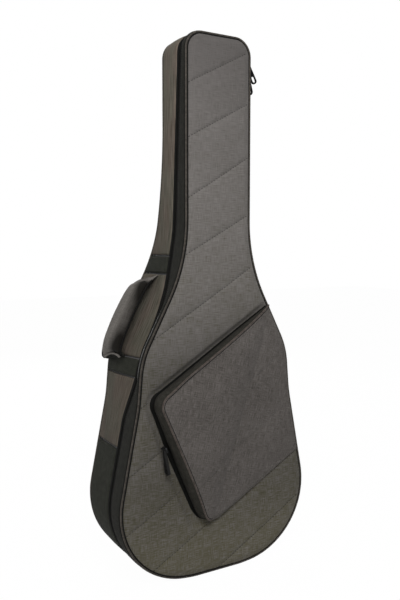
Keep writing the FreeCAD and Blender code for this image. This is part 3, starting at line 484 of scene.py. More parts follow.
class Maker:
    """Short calls for building one material's nodes.

    A colour is a socket, or red, green and blue as the eye reads them, 0 to 255.
    """

    def __init__(self, name, rough, sheen=0.0, metallic=0.0, gloss=0.12):
        self.mat = bpy.data.materials.new(name)
        self.mat.use_nodes = True
        self.tree = self.mat.node_tree
        self.shader = self.tree.nodes["Principled BSDF"]
        for socket, value in (("Roughness", rough), ("Sheen Weight", sheen), ("Sheen Roughness", 0.6),
                              ("Metallic", metallic), ("Specular IOR Level", gloss)):
            self.shader.inputs[socket].default_value = value

    def node(self, kind, sources=(), **settings):
        """A node with its first sockets fed by sources, and its settings."""
        made = self.tree.nodes.new(kind)
        for key, value in settings.items():
            setattr(made, key, value)
        for source, socket in zip(sources, made.inputs):
            self.link(source, socket)
        return made

    def link(self, source, target):
        if isinstance(source, tuple):
            target.default_value = srgb(*source)
        elif isinstance(source, (int, float)):
            target.default_value = source
        else:
            self.tree.links.new(source, target)

    def math(self, operation, *sources, clamp=False):
        return self.node("ShaderNodeMath", sources, operation=operation, use_clamp=clamp).outputs[0]

    def add(self, a, b):
        return self.math("ADD", a, b)

    def mul(self, a, b):
        return self.math("MULTIPLY", a, b)

    def wave(self, value, pitch):
        return self.math("SINE", self.mul(value, 2 * math.pi / pitch))

    def threads(self, u, v, pitch):
        """Ups and downs of a plain weave."""
        return self.mul(self.wave(u, pitch), self.wave(v, pitch))

    def split(self, vector):
        return self.node("ShaderNodeSeparateXYZ", (vector,)).outputs

    def cloth(self):
        """Cloth coordinates in metres: u across the warp, v along it."""
        return self.split(self.node("ShaderNodeAttribute", attribute_name="weave").outputs["Vector"])[:2]

    def place(self):
        """Object coordinates, for pieces with no weave of their own."""
        return self.node("ShaderNodeTexCoord").outputs["Object"]

    def vector(self, *sources):
        return self.node("ShaderNodeCombineXYZ", sources).outputs[0]

    def noise(self, vector, scale=1.0, detail=2.0, rough=0.5):
        made = self.node("ShaderNodeTexNoise")
        for socket, source in (("Vector", vector), ("Scale", scale), ("Detail", detail), ("Roughness", rough)):
            self.link(source, made.inputs[socket])
        return made.outputs["Fac"]

    def ramp(self, value, *stops):
        """Colours at places between 0 and 1; a plain factor stands for a grey."""
        made = self.node("ShaderNodeValToRGB", (value,))
        marks = made.color_ramp.elements
        while len(marks) < len(stops):
            marks.new(0.5)
        for mark, (spot, colour) in zip(marks, stops):
            mark.position = spot
            mark.color = srgb(*colour) if isinstance(colour, tuple) else (colour, colour, colour, 1)
        return made.outputs[0]

    def blend(self, share, first, second, how="MIX"):
        """Mix of two colours."""
        made = self.node("ShaderNodeMix", (share,), data_type="RGBA", blend_type=how)
        self.link(first, made.inputs[6])
        self.link(second, made.inputs[7])
        return made.outputs[2]

    def painted_light_by_height(self, painted_light_steps, colour):
        """Painted light and shade by height: the colour multiplied by a factor that changes with height, given as
        pairs of a height in metres and its factor.
        """
        tall = 1.1
        height = self.mul(self.split(self.place())[2], 1 / tall)
        return self.blend(1.0, colour, self.ramp(height, *((z / tall, factor) for z, factor in painted_light_steps)), "MULTIPLY")

    def bump(self, height, strength, distance):
        made = self.node("ShaderNodeBump")
        for socket, source in (("Strength", strength), ("Distance", distance), ("Height", height)):
            self.link(source, made.inputs[socket])
        self.link(made.outputs["Normal"], self.shader.inputs["Normal"])

    def colour(self, source):
        self.link(source, self.shader.inputs["Base Color"])


def yarn_cloth(name, slub, pitch, run):
    """Matt cloth of slubbed yarn: its maker, coordinates, and a tone of 0.5 plus and minus a little.

    The slubs lie along both threads, the warp's showing more if slub is high.
    """
    m = Maker(name, rough=0.94, sheen=0.02)
    u, v = m.cloth()
    warp = m.noise(m.vector(m.mul(u, 1 / pitch), m.mul(v, 1 / run)), 1, 2, 0.55)
    weft = m.noise(m.vector(m.mul(u, 1 / run), m.mul(v, 1 / pitch), 4.0), 1, 2, 0.55)
    yarn = m.add(m.mul(warp, 0.5 + slub / 2), m.mul(weft, 0.5 - slub / 2))
    broad = m.noise(m.vector(u, v, 9.0), 9, 3, 0.6)
    m.bump(m.add(m.mul(m.threads(u, v, pitch), 0.25), yarn), 0.35, 0.0006)
    tone = m.add(m.mul(m.add(yarn, -0.5), 1.5), 0.5)
    return m, u, v, m.add(tone, m.mul(m.add(broad, -0.5), 0.24))


FINE_PITCH, COARSE_PITCH = 0.0011, 0.0015


def heathered(name, low, middle, high, slub=0.1, fade=0.0, painted_light_steps=((0, 1),)):
    """Woven polyester of mixed yarn, with painted light: fade makes it paler with height, and the height factors paint
    light and shade over it.
    """
    m, _, v, tone = yarn_cloth(name, slub, FINE_PITCH, 0.020)
    painted_light_from = 0.6
    # painted light: the cloth made paler with height
    tone = m.add(tone, m.mul(m.add(v, -painted_light_from), fade)) if fade else tone
    m.colour(m.painted_light_by_height(painted_light_steps, m.ramp(tone, (0.2, low), (0.5, middle), (0.8, high))))
    return m.mat


def streaked(name, olive, russet, slub, painted_light_steps):
    """Side cloth: long streaks up the bag, olive brown with russet patches, with painted light that makes it paler
    towards the top.
    """
    m, u, v, tone = yarn_cloth(name, slub, COARSE_PITCH, 0.050)
    patch = m.noise(m.vector(m.mul(u, 8), m.mul(v, 34), 2.0), 1, 2, 0.5)
    dyes = [m.ramp(tone, (0.25, dark), (0.75, pale)) for dark, pale in (olive, russet)]
    m.colour(m.painted_light_by_height(painted_light_steps, m.blend(m.ramp(patch, (0.44, BLACK), (0.60, WHITE)), *dyes)))
    return m.mat


def roll_cloth_with_painted_shade(name, dark, low, high):
    """Handle cloth with painted shade: its front edge and lower end darken into a painted shade colour, standing in
    for the shade under the roll.
    """
    m, u, v, tone = yarn_cloth(name, 0.1, FINE_PITCH, 0.018)
    halfway, bend, front, blur = 0.088, 2.6, 0.030, 0.017
    middle = m.add(v, -halfway)
    edge = m.add(m.mul(m.mul(middle, middle), bend), -front)
    # share of lit cloth; the rest is painted shade, its border a curve along the handle
    painted_lit_share = m.math("MULTIPLY", m.math("SUBTRACT", u, edge), 1 / blur, clamp=True)
    m.colour(m.blend(painted_lit_share, dark, m.ramp(tone, (0.25, low), (0.75, high))))
    return m.mat


def plain_weave(name, base, lift):
    """Close basket weave of one dark yarn."""
    m = Maker(name, rough=0.88)
    u, v = m.cloth()
    check = m.threads(u, v, FINE_PITCH)
    dust = m.noise(m.vector(u, v, 2.0), 90, 4, 0.7)
    m.colour(m.ramp(m.add(m.mul(check, 0.18), dust), (0.3, base), (0.8, lift)))
    m.bump(m.add(check, m.mul(dust, 0.6)), 0.5, 0.0007)
    return m.mat


def ribbed(name, base, lift, rib=0.0016):
    """Webbing or twill tape: ribs along the strip with a fine diagonal pick."""
    m = Maker(name, rough=0.75, sheen=0.01)
    u, v = m.cloth()
    ribs = m.wave(v, rib)
    slant = m.math("SINE", m.add(m.mul(u, 2 * math.pi / (rib * 0.6)), m.mul(ribs, 1.6)))
    fuzz = m.noise(m.vector(u, v, 5.0), 160, 3, 0.6)
    m.colour(m.ramp(m.add(m.mul(m.add(ribs, slant), 0.12), fuzz), (0.3, base), (0.75, lift)))
    m.bump(m.add(m.mul(ribs, 0.6), m.mul(slant, 0.35)), 0.6, 0.0006)
    return m.mat


def fleece(name, base, lift):
    """Brushed lining: short soft nap with cloudy tone."""
    m = Maker(name, rough=1.0, sheen=0.35)
    place = m.place()
    tone = m.add(m.mul(m.noise(place, 900, 3, 0.8), 0.55), m.mul(m.noise(place, 26, 3, 0.6), 0.45))
    m.colour(m.ramp(tone, (0.3, base), (0.7, lift)))
    m.bump(tone, 0.6, 0.0012)
    return m.mat


def moulded(name, base, lift, rough, grain=500, gloss=0.35):
    """Plastic or rubber with a fine moulded grain."""
    m = Maker(name, rough, gloss=gloss)
    place = m.place()
    wear = m.noise(place, 45, 4, 0.7)
    m.colour(m.ramp(wear, (0.35, base), (0.75, lift)))
    m.link(m.add(m.mul(wear, 0.2), rough - 0.1), m.shader.inputs["Roughness"])
    m.bump(m.noise(place, grain), 0.25, 0.0003)
    return m.mat


def painted_metal(name, base, bare):
    """Black paint on zinc, rubbed a little brighter where it wears."""
    m = Maker(name, rough=0.38, metallic=0.85)
    place = m.place()
    m.colour(m.ramp(m.noise(place, 260, 4, 0.75), (0.5, base), (0.78, bare)))
    m.bump(m.noise(place, 900), 0.15, 0.0002)
    return m.mat


# painted light and shade by height for the front and side cloth: factors above 1 paint light, below 1 paint shade,
# where the light falls more or less strongly
FRONT_PAINTED_LIGHT = ((0, 1.45), (0.06, 1.36), (0.13, 1.05), (0.20, 0.87), (0.30, 0.94), (0.44, 0.87), (0.60, 1.08),
                (0.78, 1.0), (0.93, 0.84), (1.08, 0.57))
SIDE_PAINTED_LIGHT = ((0.55, 1.0), (0.68, 1.12), (0.80, 1.36), (1.09, 1.42))
FRONT_CLOTH = heathered("front_cloth", (64, 61, 48), (91, 88, 85), (106, 102, 100),
                        slub=-0.15, fade=0.42, painted_light_steps=FRONT_PAINTED_LIGHT)
POCKET_CLOTH = heathered("pocket_cloth", (48, 45, 42), (76, 72, 69), (101, 97, 94))
GRIP_CLOTH = heathered("grip_cloth", (68, 65, 61), (94, 90, 86), (122, 118, 114))
SIDE_CLOTH = streaked("side_cloth", ((52, 50, 42), (87, 83, 74)), ((55, 49, 42), (90, 82, 74)),
                      slub=-0.8, painted_light_steps=SIDE_PAINTED_LIGHT)
# the handle roll's first colour is painted shade
ROLL_CLOTH_PAINTED_SHADE = roll_cloth_with_painted_shade("roll_cloth_with_painted_shade", (18, 16, 13), (74, 71, 67), (114, 110, 106))
DARK_CLOTH = plain_weave("dark_cloth", (31, 32, 27), (50, 51, 45))
RIM_CLOTH = plain_weave("rim_cloth", (25, 25, 22), (42, 42, 38))
FLANK_CLOTH = plain_weave("flank_cloth", (32, 31, 27), (58, 56, 51))
# near-black: painted shade in the crease cords and, partly, on the pocket's lid gusset; the real black cloth of the
# grip's bindings
BLACK_CLOTH_AND_SHADE = plain_weave("black_cloth_and_shade", (9, 9, 8), (20, 20, 18))
ZIP_TAPE = plain_weave("zip_tape", (4, 4, 3), (14, 14, 12))
PIPING_CLOTH = ribbed("piping", (46, 43, 39), (80, 75, 69))
POCKET_CORD = ribbed("pocket_cord", (54, 48, 44), (88, 80, 75))
WEBBING = ribbed("webbing", (30, 30, 30), (62, 62, 60), rib=0.0042)
LINING = fleece("lining", (52, 52, 54), (86, 86, 88))
COIL = moulded("zip_coil", (6, 6, 5), (18, 18, 16), 0.7, grain=900, gloss=0.05)
THREAD = moulded("thread", (62, 60, 56), (96, 92, 86), 0.7, grain=1200)
# dark thread, partly painted shade: on the quilting seams its dark line stands for the shade in each seam's groove
DARK_THREAD_AND_SHADE = moulded("dark_thread_and_shade", (26, 25, 23), (46, 44, 41), 0.8, grain=1200)
RUBBER = moulded("pull_rubber", (10, 10, 10), (26, 26, 25), 0.6, gloss=0.15)
PLASTIC = moulded("buckle_plastic", (22, 22, 22), (40, 40, 40), 0.4)
METAL = painted_metal("slider_metal", (36, 36, 37), (118, 118, 120))


def dress(mat, *nodes):
    """Give CAD nodes that stay in view their material."""
    for name in nodes:
        shown = bpy.data.objects[name]
        if not shown.material_slots:
            shown.data.materials.append(mat)
        for slot in shown.material_slots:
            slot.material = mat


# ---------------------------------------------------------------- quilting and the pocket's shape
SEAM_HEIGHTS = (1.026, 0.924, 0.812, 0.700, 0.584, 0.470, 0.354, 0.238, 0.122, 0.006)
SEAM_ANGLES = (28.0, 28.7, 31.5, 28.6, 31.2, 31.0, 31.0, 30.0, 30.0, 30.0)
SEAMS = [(height, math.tan(math.radians(angle))) for height, angle in zip(SEAM_HEIGHTS, SEAM_ANGLES)]


def make_outline_tree():
    tree = kdtree.KDTree(len(LOOP))
    for k, st in enumerate(LOOP):
        tree.insert((st.x, 0, st.z), k)
    tree.balance()
    return tree


OUTLINE = make_outline_tree()


def edge_distance(x, z):
    """How far inside the outline a point of the front lies."""
    _, k, _ = OUTLINE.find((x, 0, z))
    st = LOOP[k]
    return -((x - st.x) * st.nx + (z - st.z) * st.nz)


def seam_distance(x, z):
    """Distance to the nearest quilting seam."""
    return min(abs(z - seam - x * rise) / math.hypot(1, rise) for seam, rise in SEAMS)


def quilt(x, z, puff, width):
    """Height of the quilted cloth: a sharp valley on each seam, with puckers beside it."""
    away = seam_distance(x, z)
    pucker = 0.0011 * math.exp(-away / 0.010) * ripple((x, z, 0), 0.012, 3)
    groove = 0.0010 * math.exp(-(away / 0.0020) ** 2)
    return puff * (1 - math.exp(-away / width)) + pucker - groove


POCKET_LEFT, POCKET_BASE, POCKET_TOP = (-0.147, 0.388), (-0.022, 0.110), (0.122, 0.556)
POCKET_CORNER, POCKET_INSET = 0.027, 0.005
POCKET_RISE, FOLD_RISE, HEM_RISE, HEM_RUN = 0.038, 0.012, 0.0028, 0.150
POCKET_SKIN, POCKET_COIL = 0.0025, 0.003
# how far the stuffed pocket swells past its stitched edge and past its face
POCKET_PUFF, POCKET_FULL = 0.012, 0.006
# the sewn edge, let out a little by the filling
HEM_BASE, HEM_SLOPE, HEM_CORNER = (-0.022, 0.104), 0.547, 0.038
# the wall's outward lean, the drop of its zip, the slack of its top edge and the flat ledge below its slider
POCKET_FLARE, ZIP_DROP, POCKET_SLACK, SLIDER_LEDGE = 0.014, 0.002, 0.009, 0.008


def unit(x, z):
    size = math.hypot(x, z)
    return x / size, z / size


FOLD = unit(POCKET_TOP[0] - POCKET_BASE[0], POCKET_TOP[1] - POCKET_BASE[1])
ACROSS = (-FOLD[1], FOLD[0])
TOP_SLOPE = (POCKET_TOP[1] - POCKET_LEFT[1]) / (POCKET_TOP[0] - POCKET_LEFT[0])
BASE_NORMAL = unit(HEM_SLOPE, -1)
LEFT_NORMAL = unit(POCKET_BASE[1] - POCKET_LEFT[1], -(POCKET_BASE[0] - POCKET_LEFT[0]))
TOP_NORMAL = unit(-TOP_SLOPE, 1)


def past(normal, corner, x, z):
    """Distance past the straight edge through a corner."""
    return (x - corner[0]) * normal[0] + (z - corner[1]) * normal[1]


def over_fold(x, z):
    """Distance from the pocket's fold line, towards its proud left corner."""
    return past(ACROSS, POCKET_BASE, x, z)


SWELL = over_fold(*POCKET_LEFT)


def pocket_height(x, z):
    """How far the pocket's front stands off the lid."""
    away = over_fold(x, z)
    if away >= 0:
        return FOLD_RISE + (POCKET_RISE - FOLD_RISE) * away / SWELL
    return FOLD_RISE + (HEM_RISE - FOLD_RISE) * min(1.0, -away / HEM_RUN)


def pocket_stand(x, z):
    """The same with the pocket stuffed full, so that it stands nearly as high all down its open edge."""
    away = min(1.0, over_fold(x, z) / SWELL)
    if away <= 0:
        return pocket_height(x, z)
    top, left = past(TOP_NORMAL, POCKET_LEFT, x, z), past(LEFT_NORMAL, POCKET_BASE, x, z)
    slack = POCKET_SLACK * math.exp(min(0.0, top) / 0.05) * smooth(-left / 0.08)
    return FOLD_RISE + (POCKET_RISE + POCKET_FULL - slack - FOLD_RISE) * (1 - (1 - away) ** 4)


def pocket_bounds(x, z):
    """Signed distance to the pocket's edge, negative inside, and how squarely that edge faces left."""
    base = past(BASE_NORMAL, HEM_BASE, x, z)
    left = past(LEFT_NORMAL, POCKET_BASE, x, z) - POCKET_PUFF
    top = past(TOP_NORMAL, POCKET_LEFT, x, z)
    for side, r in ((base, HEM_CORNER), (top, POCKET_CORNER)):
        if left > -r and side > -r:
            reach = math.hypot(left + r, side + r)
            return reach - r, (left + r) / max(reach, 1e-6)
    nearest = max(base, left, top)
    return nearest, 1.0 if nearest == left else 0.0


def pocket_distance(x, z):
    return pocket_bounds(x, z)[0]


def pocket_lean(x, z):
    """How much of the wall's outward lean there is beside this place: full on the open left edge."""
    away = over_fold(x, z)
    return smooth(pocket_bounds(x, z)[1]) * smooth(away / 0.045) * (1 - 0.5 * smooth((away / SWELL - 0.55) / 0.45))


def pocket_clear(x, z):
    """Distance outside the foot of the pocket's wall."""
    return pocket_distance(x, z) - POCKET_FLARE * pocket_lean(x, z)


def pocket_edge(step, inset):
    """Stations round the pocket's edge, this far inside the bag's: base edge, left edge and top edge."""
    def line(normal, place):
        return normal, normal[0] * place[0] + normal[1] * place[1]

    def corner(first, second, radius):
        """Round corner between two edges, each a normal and its distance from the origin."""
        ((ax, az), a), ((bx, bz), b) = first, second
        a, b, det = a - radius, b - radius, ax * bz - az * bx
        start, stop = math.atan2(az, ax), math.atan2(bz, bx)
        turn = (start - stop) % (2 * math.pi)
        return arc((a * bz - b * az) / det, (ax * b - bx * a) / det, radius, spread(start, start - turn, 12))

    base, top = line(BASE_NORMAL, HEM_BASE), line(TOP_NORMAL, POCKET_LEFT)
    left = (LEFT_NORMAL, line(LEFT_NORMAL, POCKET_BASE)[1] + POCKET_PUFF)
    far, widest = 0.26, 0.23
    rough = [(far, HEM_BASE[1] + HEM_SLOPE * (far - HEM_BASE[0]), *BASE_NORMAL),
             *corner(base, left, HEM_CORNER), *corner(left, top, POCKET_CORNER),
             (far, POCKET_LEFT[1] + TOP_SLOPE * (far - POCKET_LEFT[0]), *TOP_NORMAL)]
    return [st for st in resample(rough, step) if edge_distance(st.x, st.z) > inset and abs(st.x) < widest]


def front_face(x, z):
    """Depth of the quilted front cloth, pressed flat under the pocket."""
    inside = edge_distance(x, z) - PANEL_OUT
    free = smooth((pocket_clear(x, z) - SLIDER_LEDGE * pocket_lean(x, z)) / 0.013)
    rise = 0.0010 + quilt(x, z, 0.0042, 0.014) + 0.0016 * smooth(inside / 0.07)
    rise += 0.0004 * ripple((x, z, 0), 0.05)
    return FRONT - rise * smooth(inside / 0.016) * free + 0.0014 * rolled(inside, 0.005)


# ---------------------------------------------------------------- lid
def split_runs(path, gap):
    """Break a path wherever two places lie further apart than gap."""
    runs = [[]]
    for spot in path:
        if runs[-1] and (spot[0] - runs[-1][-1][0]).length > gap:
            runs.append([])
        runs[-1].append(spot)
    return [run for run in runs if len(run) > 3]


def seam_runs(seam, left, right, face, keep):
    """One quilting seam over a face, in the runs where keep(x, z) holds."""
    height, rise = seam
    spots = [(x, height + x * rise) for x in spread(left, right, 400)]
    return split_runs([(Vector((x, face(x, z), z)), TO_FRONT) for x, z in spots if keep(x, z)], 0.01)


def front_panel():
    """Quilted front cloth and its slanting seams."""
    piece = slab("front_quilted", half_outline(0.0022), PANEL_OUT, front_face,
                 lambda x, z: FRONT + SKIN, FRONT_CLOTH, columns=150)
    settle(piece, "lid", "front_cloth", "front_panel")
    edge = 0.004

    def shown(x, z):
        return edge < z < HEIGHT - edge and edge_distance(x, z) > PANEL_OUT + 0.002 and pocket_clear(x, z) > 0.001

    reach = 0.24
    long_stitch = 0.0044, 0.0022, 0.0008
    # the seams' dark stitches also paint the shade in each seam's groove
    for k, seam in enumerate(SEAMS):
        for j, run in enumerate(seam_runs(seam, -reach, reach, front_face, shown)):
            sew(f"front_seam_{k}_{j}", run, DARK_THREAD_AND_SHADE, "lid", "front_cloth", *long_stitch)


CORD_OUT, FRONT_CORD, BACK_CORD = -0.0021, 0.0019, 0.0023


def groove_shade_radius(st):
    """Radius of the cords of painted shade in the crease beside the front piping; the crease is pulled shut on the
    hinge side and most of all up the neck.
    """
    neck = smooth((st.z - 0.62) / 0.08) * (1 - smooth((st.z - 0.97) / 0.05))
    return 0.0014 * (1 - smooth(st.x / 0.05) * (0.45 + 0.30 * neck))


def lid_trim():
    """Front piping, cords of painted shade in the creases beside it, the dark rim band and its seam."""
    settle(tube("front_cord", LOOP, CORD_OUT, FRONT + 0.0016, FRONT_CORD, PIPING_CLOTH),
           "lid", "piping", "front_piping")
    # near-black cords on both sides of the piping: painted shade in its creases
    for word, out, y in (("inner", -0.0052, FRONT + 0.0004), ("outer", -0.0010, FRONT + 0.0040)):
        settle(tube(f"front_groove_{word}", LOOP, out, y, groove_shade_radius, BLACK_CLOTH_AND_SHADE, sides=8),
               "lid", "piping")
    piece = wall("rim_band", LOOP, lambda z: FRONT + PANEL_OUT, lambda z: parting(z) - TAPE_REACH,
                 lambda st, t: 0.0002 + 0.0008 * math.sin(math.pi * t) + 0.0003 * ripple((st.s, t, 1), 0.03),
                 SKIN, RIM_CLOTH, columns=10, roll=0.0012, ring=True)
    settle(piece, "lid", "rim_cloth", "lid_rim")
    path = [(sag(st.at(0.0004, parting(st.z) - TAPE_REACH - 0.0022)), st.facing()) for st in LOOP]
    sew("rim_seam", path, DARK_THREAD_AND_SHADE, "lid", "rim_cloth")


def open_path():
    """Stations of the outline where the zip runs: all but the hinge on the right."""
    start = next(k for k, st in enumerate(HALF) if st.z >= HINGE_HIGH)
    stop = next(k for k, st in enumerate(HALF) if st.z > HINGE_LOW)
    return LOOP[start:] + [Station(st.x, st.z, st.nx, st.nz, st.s + GIRTH) for st in HALF[:stop]]


def coil(name, stations, sign, middle, body, pitch, size, between_teeth):
    """Toothed half of a zip; middle(station) gives the (out, y) that it is wound round.

    Its size shrinks to the share between_teeth after each tooth.
    """
    def section(st):
        tooth = 1.0 if (round(st.s / pitch) + (sign > 0)) % 2 else between_teeth
        return circle(*middle(st), size * tooth, 6)
    settle(sweep(name, stations, section, COIL), body, "zip_coil")


def zip_halves():
    """Twill tape and toothed coil on each side of the parting line."""
    run = open_path()
    fine = [a.toward(b, k / 3) for a, b in zip(run, run[1:]) for k in range(3)]
    for owner, sign in (("lid", -1), ("tub", 1)):
        near, far = sorted((sign * COIL_REACH, sign * TAPE_REACH))
        tape = wall(f"zip_tape_{owner}", run, lambda z: parting(z) + near, lambda z: parting(z) + far,
                    lambda st, t: -0.0009, SKIN - 0.001, ZIP_TAPE, columns=4, roll=0.0003)
        settle(tape, owner, "zip_tape", f"zip_{owner}")
        coil(f"zip_coil_{owner}", fine, sign, lambda st: (-0.0014, parting(st.z) + sign * 0.0013), owner,
             pitch=0.00117, size=0.00145, between_teeth=0.72)


def hinge_web():
    """One band of webbing sewn to both halves at the hinge."""
    reach = TAPE_REACH - 0.0002
    piece = wall("hinge_web", between(HALF, HINGE_LOW, HINGE_HIGH), lambda z: PARTING - reach,
                 lambda z: PARTING + reach, lambda st, t: -0.0003, SKIN - 0.0008, WEBBING, columns=24, roll=0.0004)
    flex(piece, ("hinge_web_lid", "hinge_web_tub"),
         ((0.22, PARTING + 0.004, 0.17), (0.22, PARTING - 0.004, 0.17)))


# ---------------------------------------------------------------- tub
def fabric_strip(name, node_name, stations, kind, seed, sewn):
    """Side cloth from the zip to the back piping, its ends turned in and sewn across at some heights.

    kind is its material, its finish, how far it is raised and how far it swells.
    """
    mat, slot, raised, crown = kind
    low_z, high_z = min(st.z for st in stations), max(st.z for st in stations)

    def outside(st, t):
        end = min(st.z - low_z if low_z > 0.01 else 1, high_z - st.z if high_z < HEIGHT - 0.01 else 1)
        soft = crown * math.sin(math.pi * t) + 0.0007 * ripple((st.s, t * 0.1, seed), 0.045, seed)
        return raised + max(-0.0002, soft) * smooth(end / 0.02 + 0.35) - 0.0013 * rolled(end, 0.004)

    piece = wall(name, stations, lambda z: parting(z) + TAPE_REACH, lambda z: back_face(z) - PANEL_OUT,
                 outside, SKIN, mat, columns=26, roll=0.0016)
    settle(piece, "tub", slot, node_name)
    for k, height in enumerate(sewn):
        near = min(stations, key=lambda st: abs(st.z - height))
        low, high = parting(height) + TAPE_REACH + 0.002, back_face(height) - PANEL_OUT - 0.002
        path = [(sag(near.at(outside(near, t) + 0.0001, low + (high - low) * t)), near.facing())
                for t in spread(0, 1, 24)]
        sew(f"{name}_seam_{k}", path, DARK_THREAD_AND_SHADE, "tub", slot)


def side_fabric():
    """Heathered panels, the dark base and the two dark patches under the handle."""
    side = SIDE_CLOTH, "side_cloth", 0, 0.0014
    patch = DARK_CLOTH, "dark_cloth", 0.0012, 0.0006
    base = DARK_CLOTH, "dark_cloth", 0.0004, 0.0010
    edge = 0.004
    whole = [st.mirrored(-st.s) for st in HALF[:0:-1]] + HALF
    for name, node_name, stations, kind, seed, sewn in (
            ("neck_side", "side_panel_neck_left", between(LEFT, HIGH_PATCH[1], 2), side, 1, ()),
            ("upper_patch", "handle_patch_upper", between(LEFT, *HIGH_PATCH), patch, 2,
             (HIGH_PATCH[0] + edge, HIGH_PATCH[1] - edge)),
            ("handle_side", "side_panel_handle", between(LEFT, LOW_PATCH[1], HIGH_PATCH[0]), side, 3, ()),
            ("lower_patch", "handle_patch_lower", between(LEFT, *LOW_PATCH), patch, 4,
             (LOW_PATCH[0] + edge, LOW_PATCH[1] - edge)),
            ("waist_side", "side_panel_waist_left", between(LEFT, BASE_TOP, LOW_PATCH[0]), side, 5, ()),
            ("right_side", "side_panel_right", between(HALF, BASE_TOP, 2), side, 6, ()),
            ("base_cloth", "base_panel", between(whole, -1, BASE_TOP), base, 7, (BASE_TOP - edge,))):
        fabric_strip(name, node_name, stations, kind, seed, sewn)


def tub_trim():
    """Back piping and the back cloth."""
    settle(tube("back_cord", LOOP, CORD_OUT, lambda z: back_face(z) - 0.0021, BACK_CORD, PIPING_CLOTH),
           "tub", "piping", "back_piping")

    def outer(x, z):
        inside = edge_distance(x, z) - PANEL_OUT
        dip = 0.0005 * (0.5 + 0.5 * ripple((x, z, 5), 0.06)) + 0.001 * max(0.0, 1 - inside / 0.005)
        return back_face(z) - 0.0003 - dip

    piece = slab("back_cloth", HALF, PANEL_OUT, lambda x, z: back_face(z) - SKIN, outer, SIDE_CLOTH,
                 columns=80, turned=True)
    settle(piece, "tub", "side_cloth", "back_panel")


# ---------------------------------------------------------------- padding and lining inside
def band(name, stations, low, high, ring, seed):
    """Padding strip against the side wall, its lined face crowned inwards."""
    def section(st):
        near, far = low(st.z), high(st.z)
        outer, inner = [], []
        for t in spread(0, 1, 12):
            y = near + (far - near) * t
            soft = 0.0012 * math.sin(math.pi * t) + 0.0004 * ripple((st.s, t * 0.1, seed), 0.05, seed)
            outer.append((-SKIN - GAP, y))
            inner.append((-PADDING_IN - soft * 0.6 + 0.003 * rolled(min(t, 1 - t) * (far - near), 0.005), y))
        return outer + inner[::-1]
    return sweep(name, stations, section, LINING, ring)


def padding():
    """Lined foam boards of the lid and the tub."""
    edge = 0.0001
    block = PADDING_IN + GAP
    settle(band("lid_rim_pad", LOOP, lambda z: FRONT + block, lambda z: parting(z) - edge, True, 1),
           "lid", "lining", "lid_rim_padding")
    for word, run, seed in (("left", LEFT, 2), ("right", HALF, 3)):
        piece = band(f"{word}_wall_pad", run, lambda z: parting(z) + edge, lambda z: back_face(z) - block, False, seed)
        settle(piece, "tub", "lining", f"side_padding_{word}")

    def lid_inner(x, z):
        return FRONT + PADDING_IN + 0.0005 * ripple((x, z, 2), 0.07) - 0.0002

    def tub_inner(x, z):
        return back_face(z) - PADDING_IN + 0.0004 * ripple((x, z, 4), 0.07)

    for name, node_name, body, face, foot in (
            ("lid_board", "lid_padding", "lid", lambda x, z: FRONT + SKIN + GAP, lid_inner),
            ("back_board", "back_padding", "tub", tub_inner, lambda x, z: back_face(z) - SKIN - GAP - 0.0004)):
        settle(slab(name, HALF, PANEL_OUT, face, foot, LINING, columns=60), body, "lining", node_name)


# ---------------------------------------------------------------- stuffed pieces
VOXEL = 0.0042   # for the grip and the strap pads


def weave_by(piece, rule):
    """Lay cloth coordinates over a finished mesh: rule(point) gives (u, v) in metres."""
    mesh = piece.data
    layer = mesh.attributes.get("weave") or mesh.attributes.new("weave", "FLOAT_VECTOR", "POINT")
    layer.data.foreach_set("vector", [c for v in mesh.vertices for c in (*rule(v.co), 0.0)])


def change(piece, kind, **settings):
    """Apply one modifier."""
    modifier = piece.modifiers.new(kind.lower(), kind)
    for key, value in settings.items():
        setattr(modifier, key, value)
    bpy.ops.object.select_all(action="DESELECT")
    piece.select_set(True)
    bpy.context.view_layer.objects.active = piece
    bpy.ops.object.modifier_apply(modifier=modifier.name)


def fill_out(piece, cap):
    """Simulate the piece as cloth under pressure; no point moves further than cap."""
    start = [v.co.copy() for v in piece.data.vertices]
    cloth = piece.modifiers.new("stuffing", "CLOTH")
    for key, value in (("quality", 6), ("mass", 0.3), ("tension_stiffness", 12), ("compression_stiffness", 8),
                       ("bending_stiffness", 0.4), ("use_pressure", True), ("uniform_pressure_force", 4.0)):
        setattr(cloth.settings, key, value)
    cloth.settings.effector_weights.gravity = 0
    frames = 20
    cloth.point_cache.frame_end = frames
    for frame_number in range(1, frames + 1):
        SCENE.frame_set(frame_number)
    view = piece.evaluated_get(bpy.context.evaluated_depsgraph_get())
    swollen = [v.co.copy() for v in view.data.vertices]
    piece.modifiers.remove(cloth)
    SCENE.frame_set(1)
    for vertex, home, place in zip(piece.data.vertices, start, swollen):
        shift = place - home
        if shift.length > cap:
            shift *= cap / shift.length
        vertex.co = home + shift


def inflate(piece, voxel, cap):
    """Swell a closed form as stuffed cloth: remesh, simulate with pressure, cap, smooth."""
    change(piece, "REMESH", mode="VOXEL", voxel_size=voxel)
    fill_out(piece, cap)
    change(piece, "SMOOTH", iterations=2, factor=0.5)
    change(piece, "SUBSURF", levels=1, render_levels=1)
    for face in piece.data.polygons:
        face.use_smooth = True


def cad_copy(node_name, mat):
    """Mesh of a CAD node where it stands, with a new finish."""
    source = bpy.data.objects[node_name]
    mesh = source.data.copy()
    mesh.transform(source.matrix_world)
    mesh.materials.clear()
    mesh.materials.append(mat)
    return mesh


def stuffed_copy(name, node_name, mat, voxel, cap):
    """A CAD block remade as a stuffed form, started a little smaller than its solid."""
    shrink = 0.0015
    piece = link_up(name, cad_copy(node_name, mat))
    change(piece, "REMESH", mode="VOXEL", voxel_size=voxel)
    for vertex, normal in zip(piece.data.vertices, [v.normal.copy() for v in piece.data.vertices]):
        vertex.co -= normal * shrink
    inflate(piece, voxel, cap)
    return piece


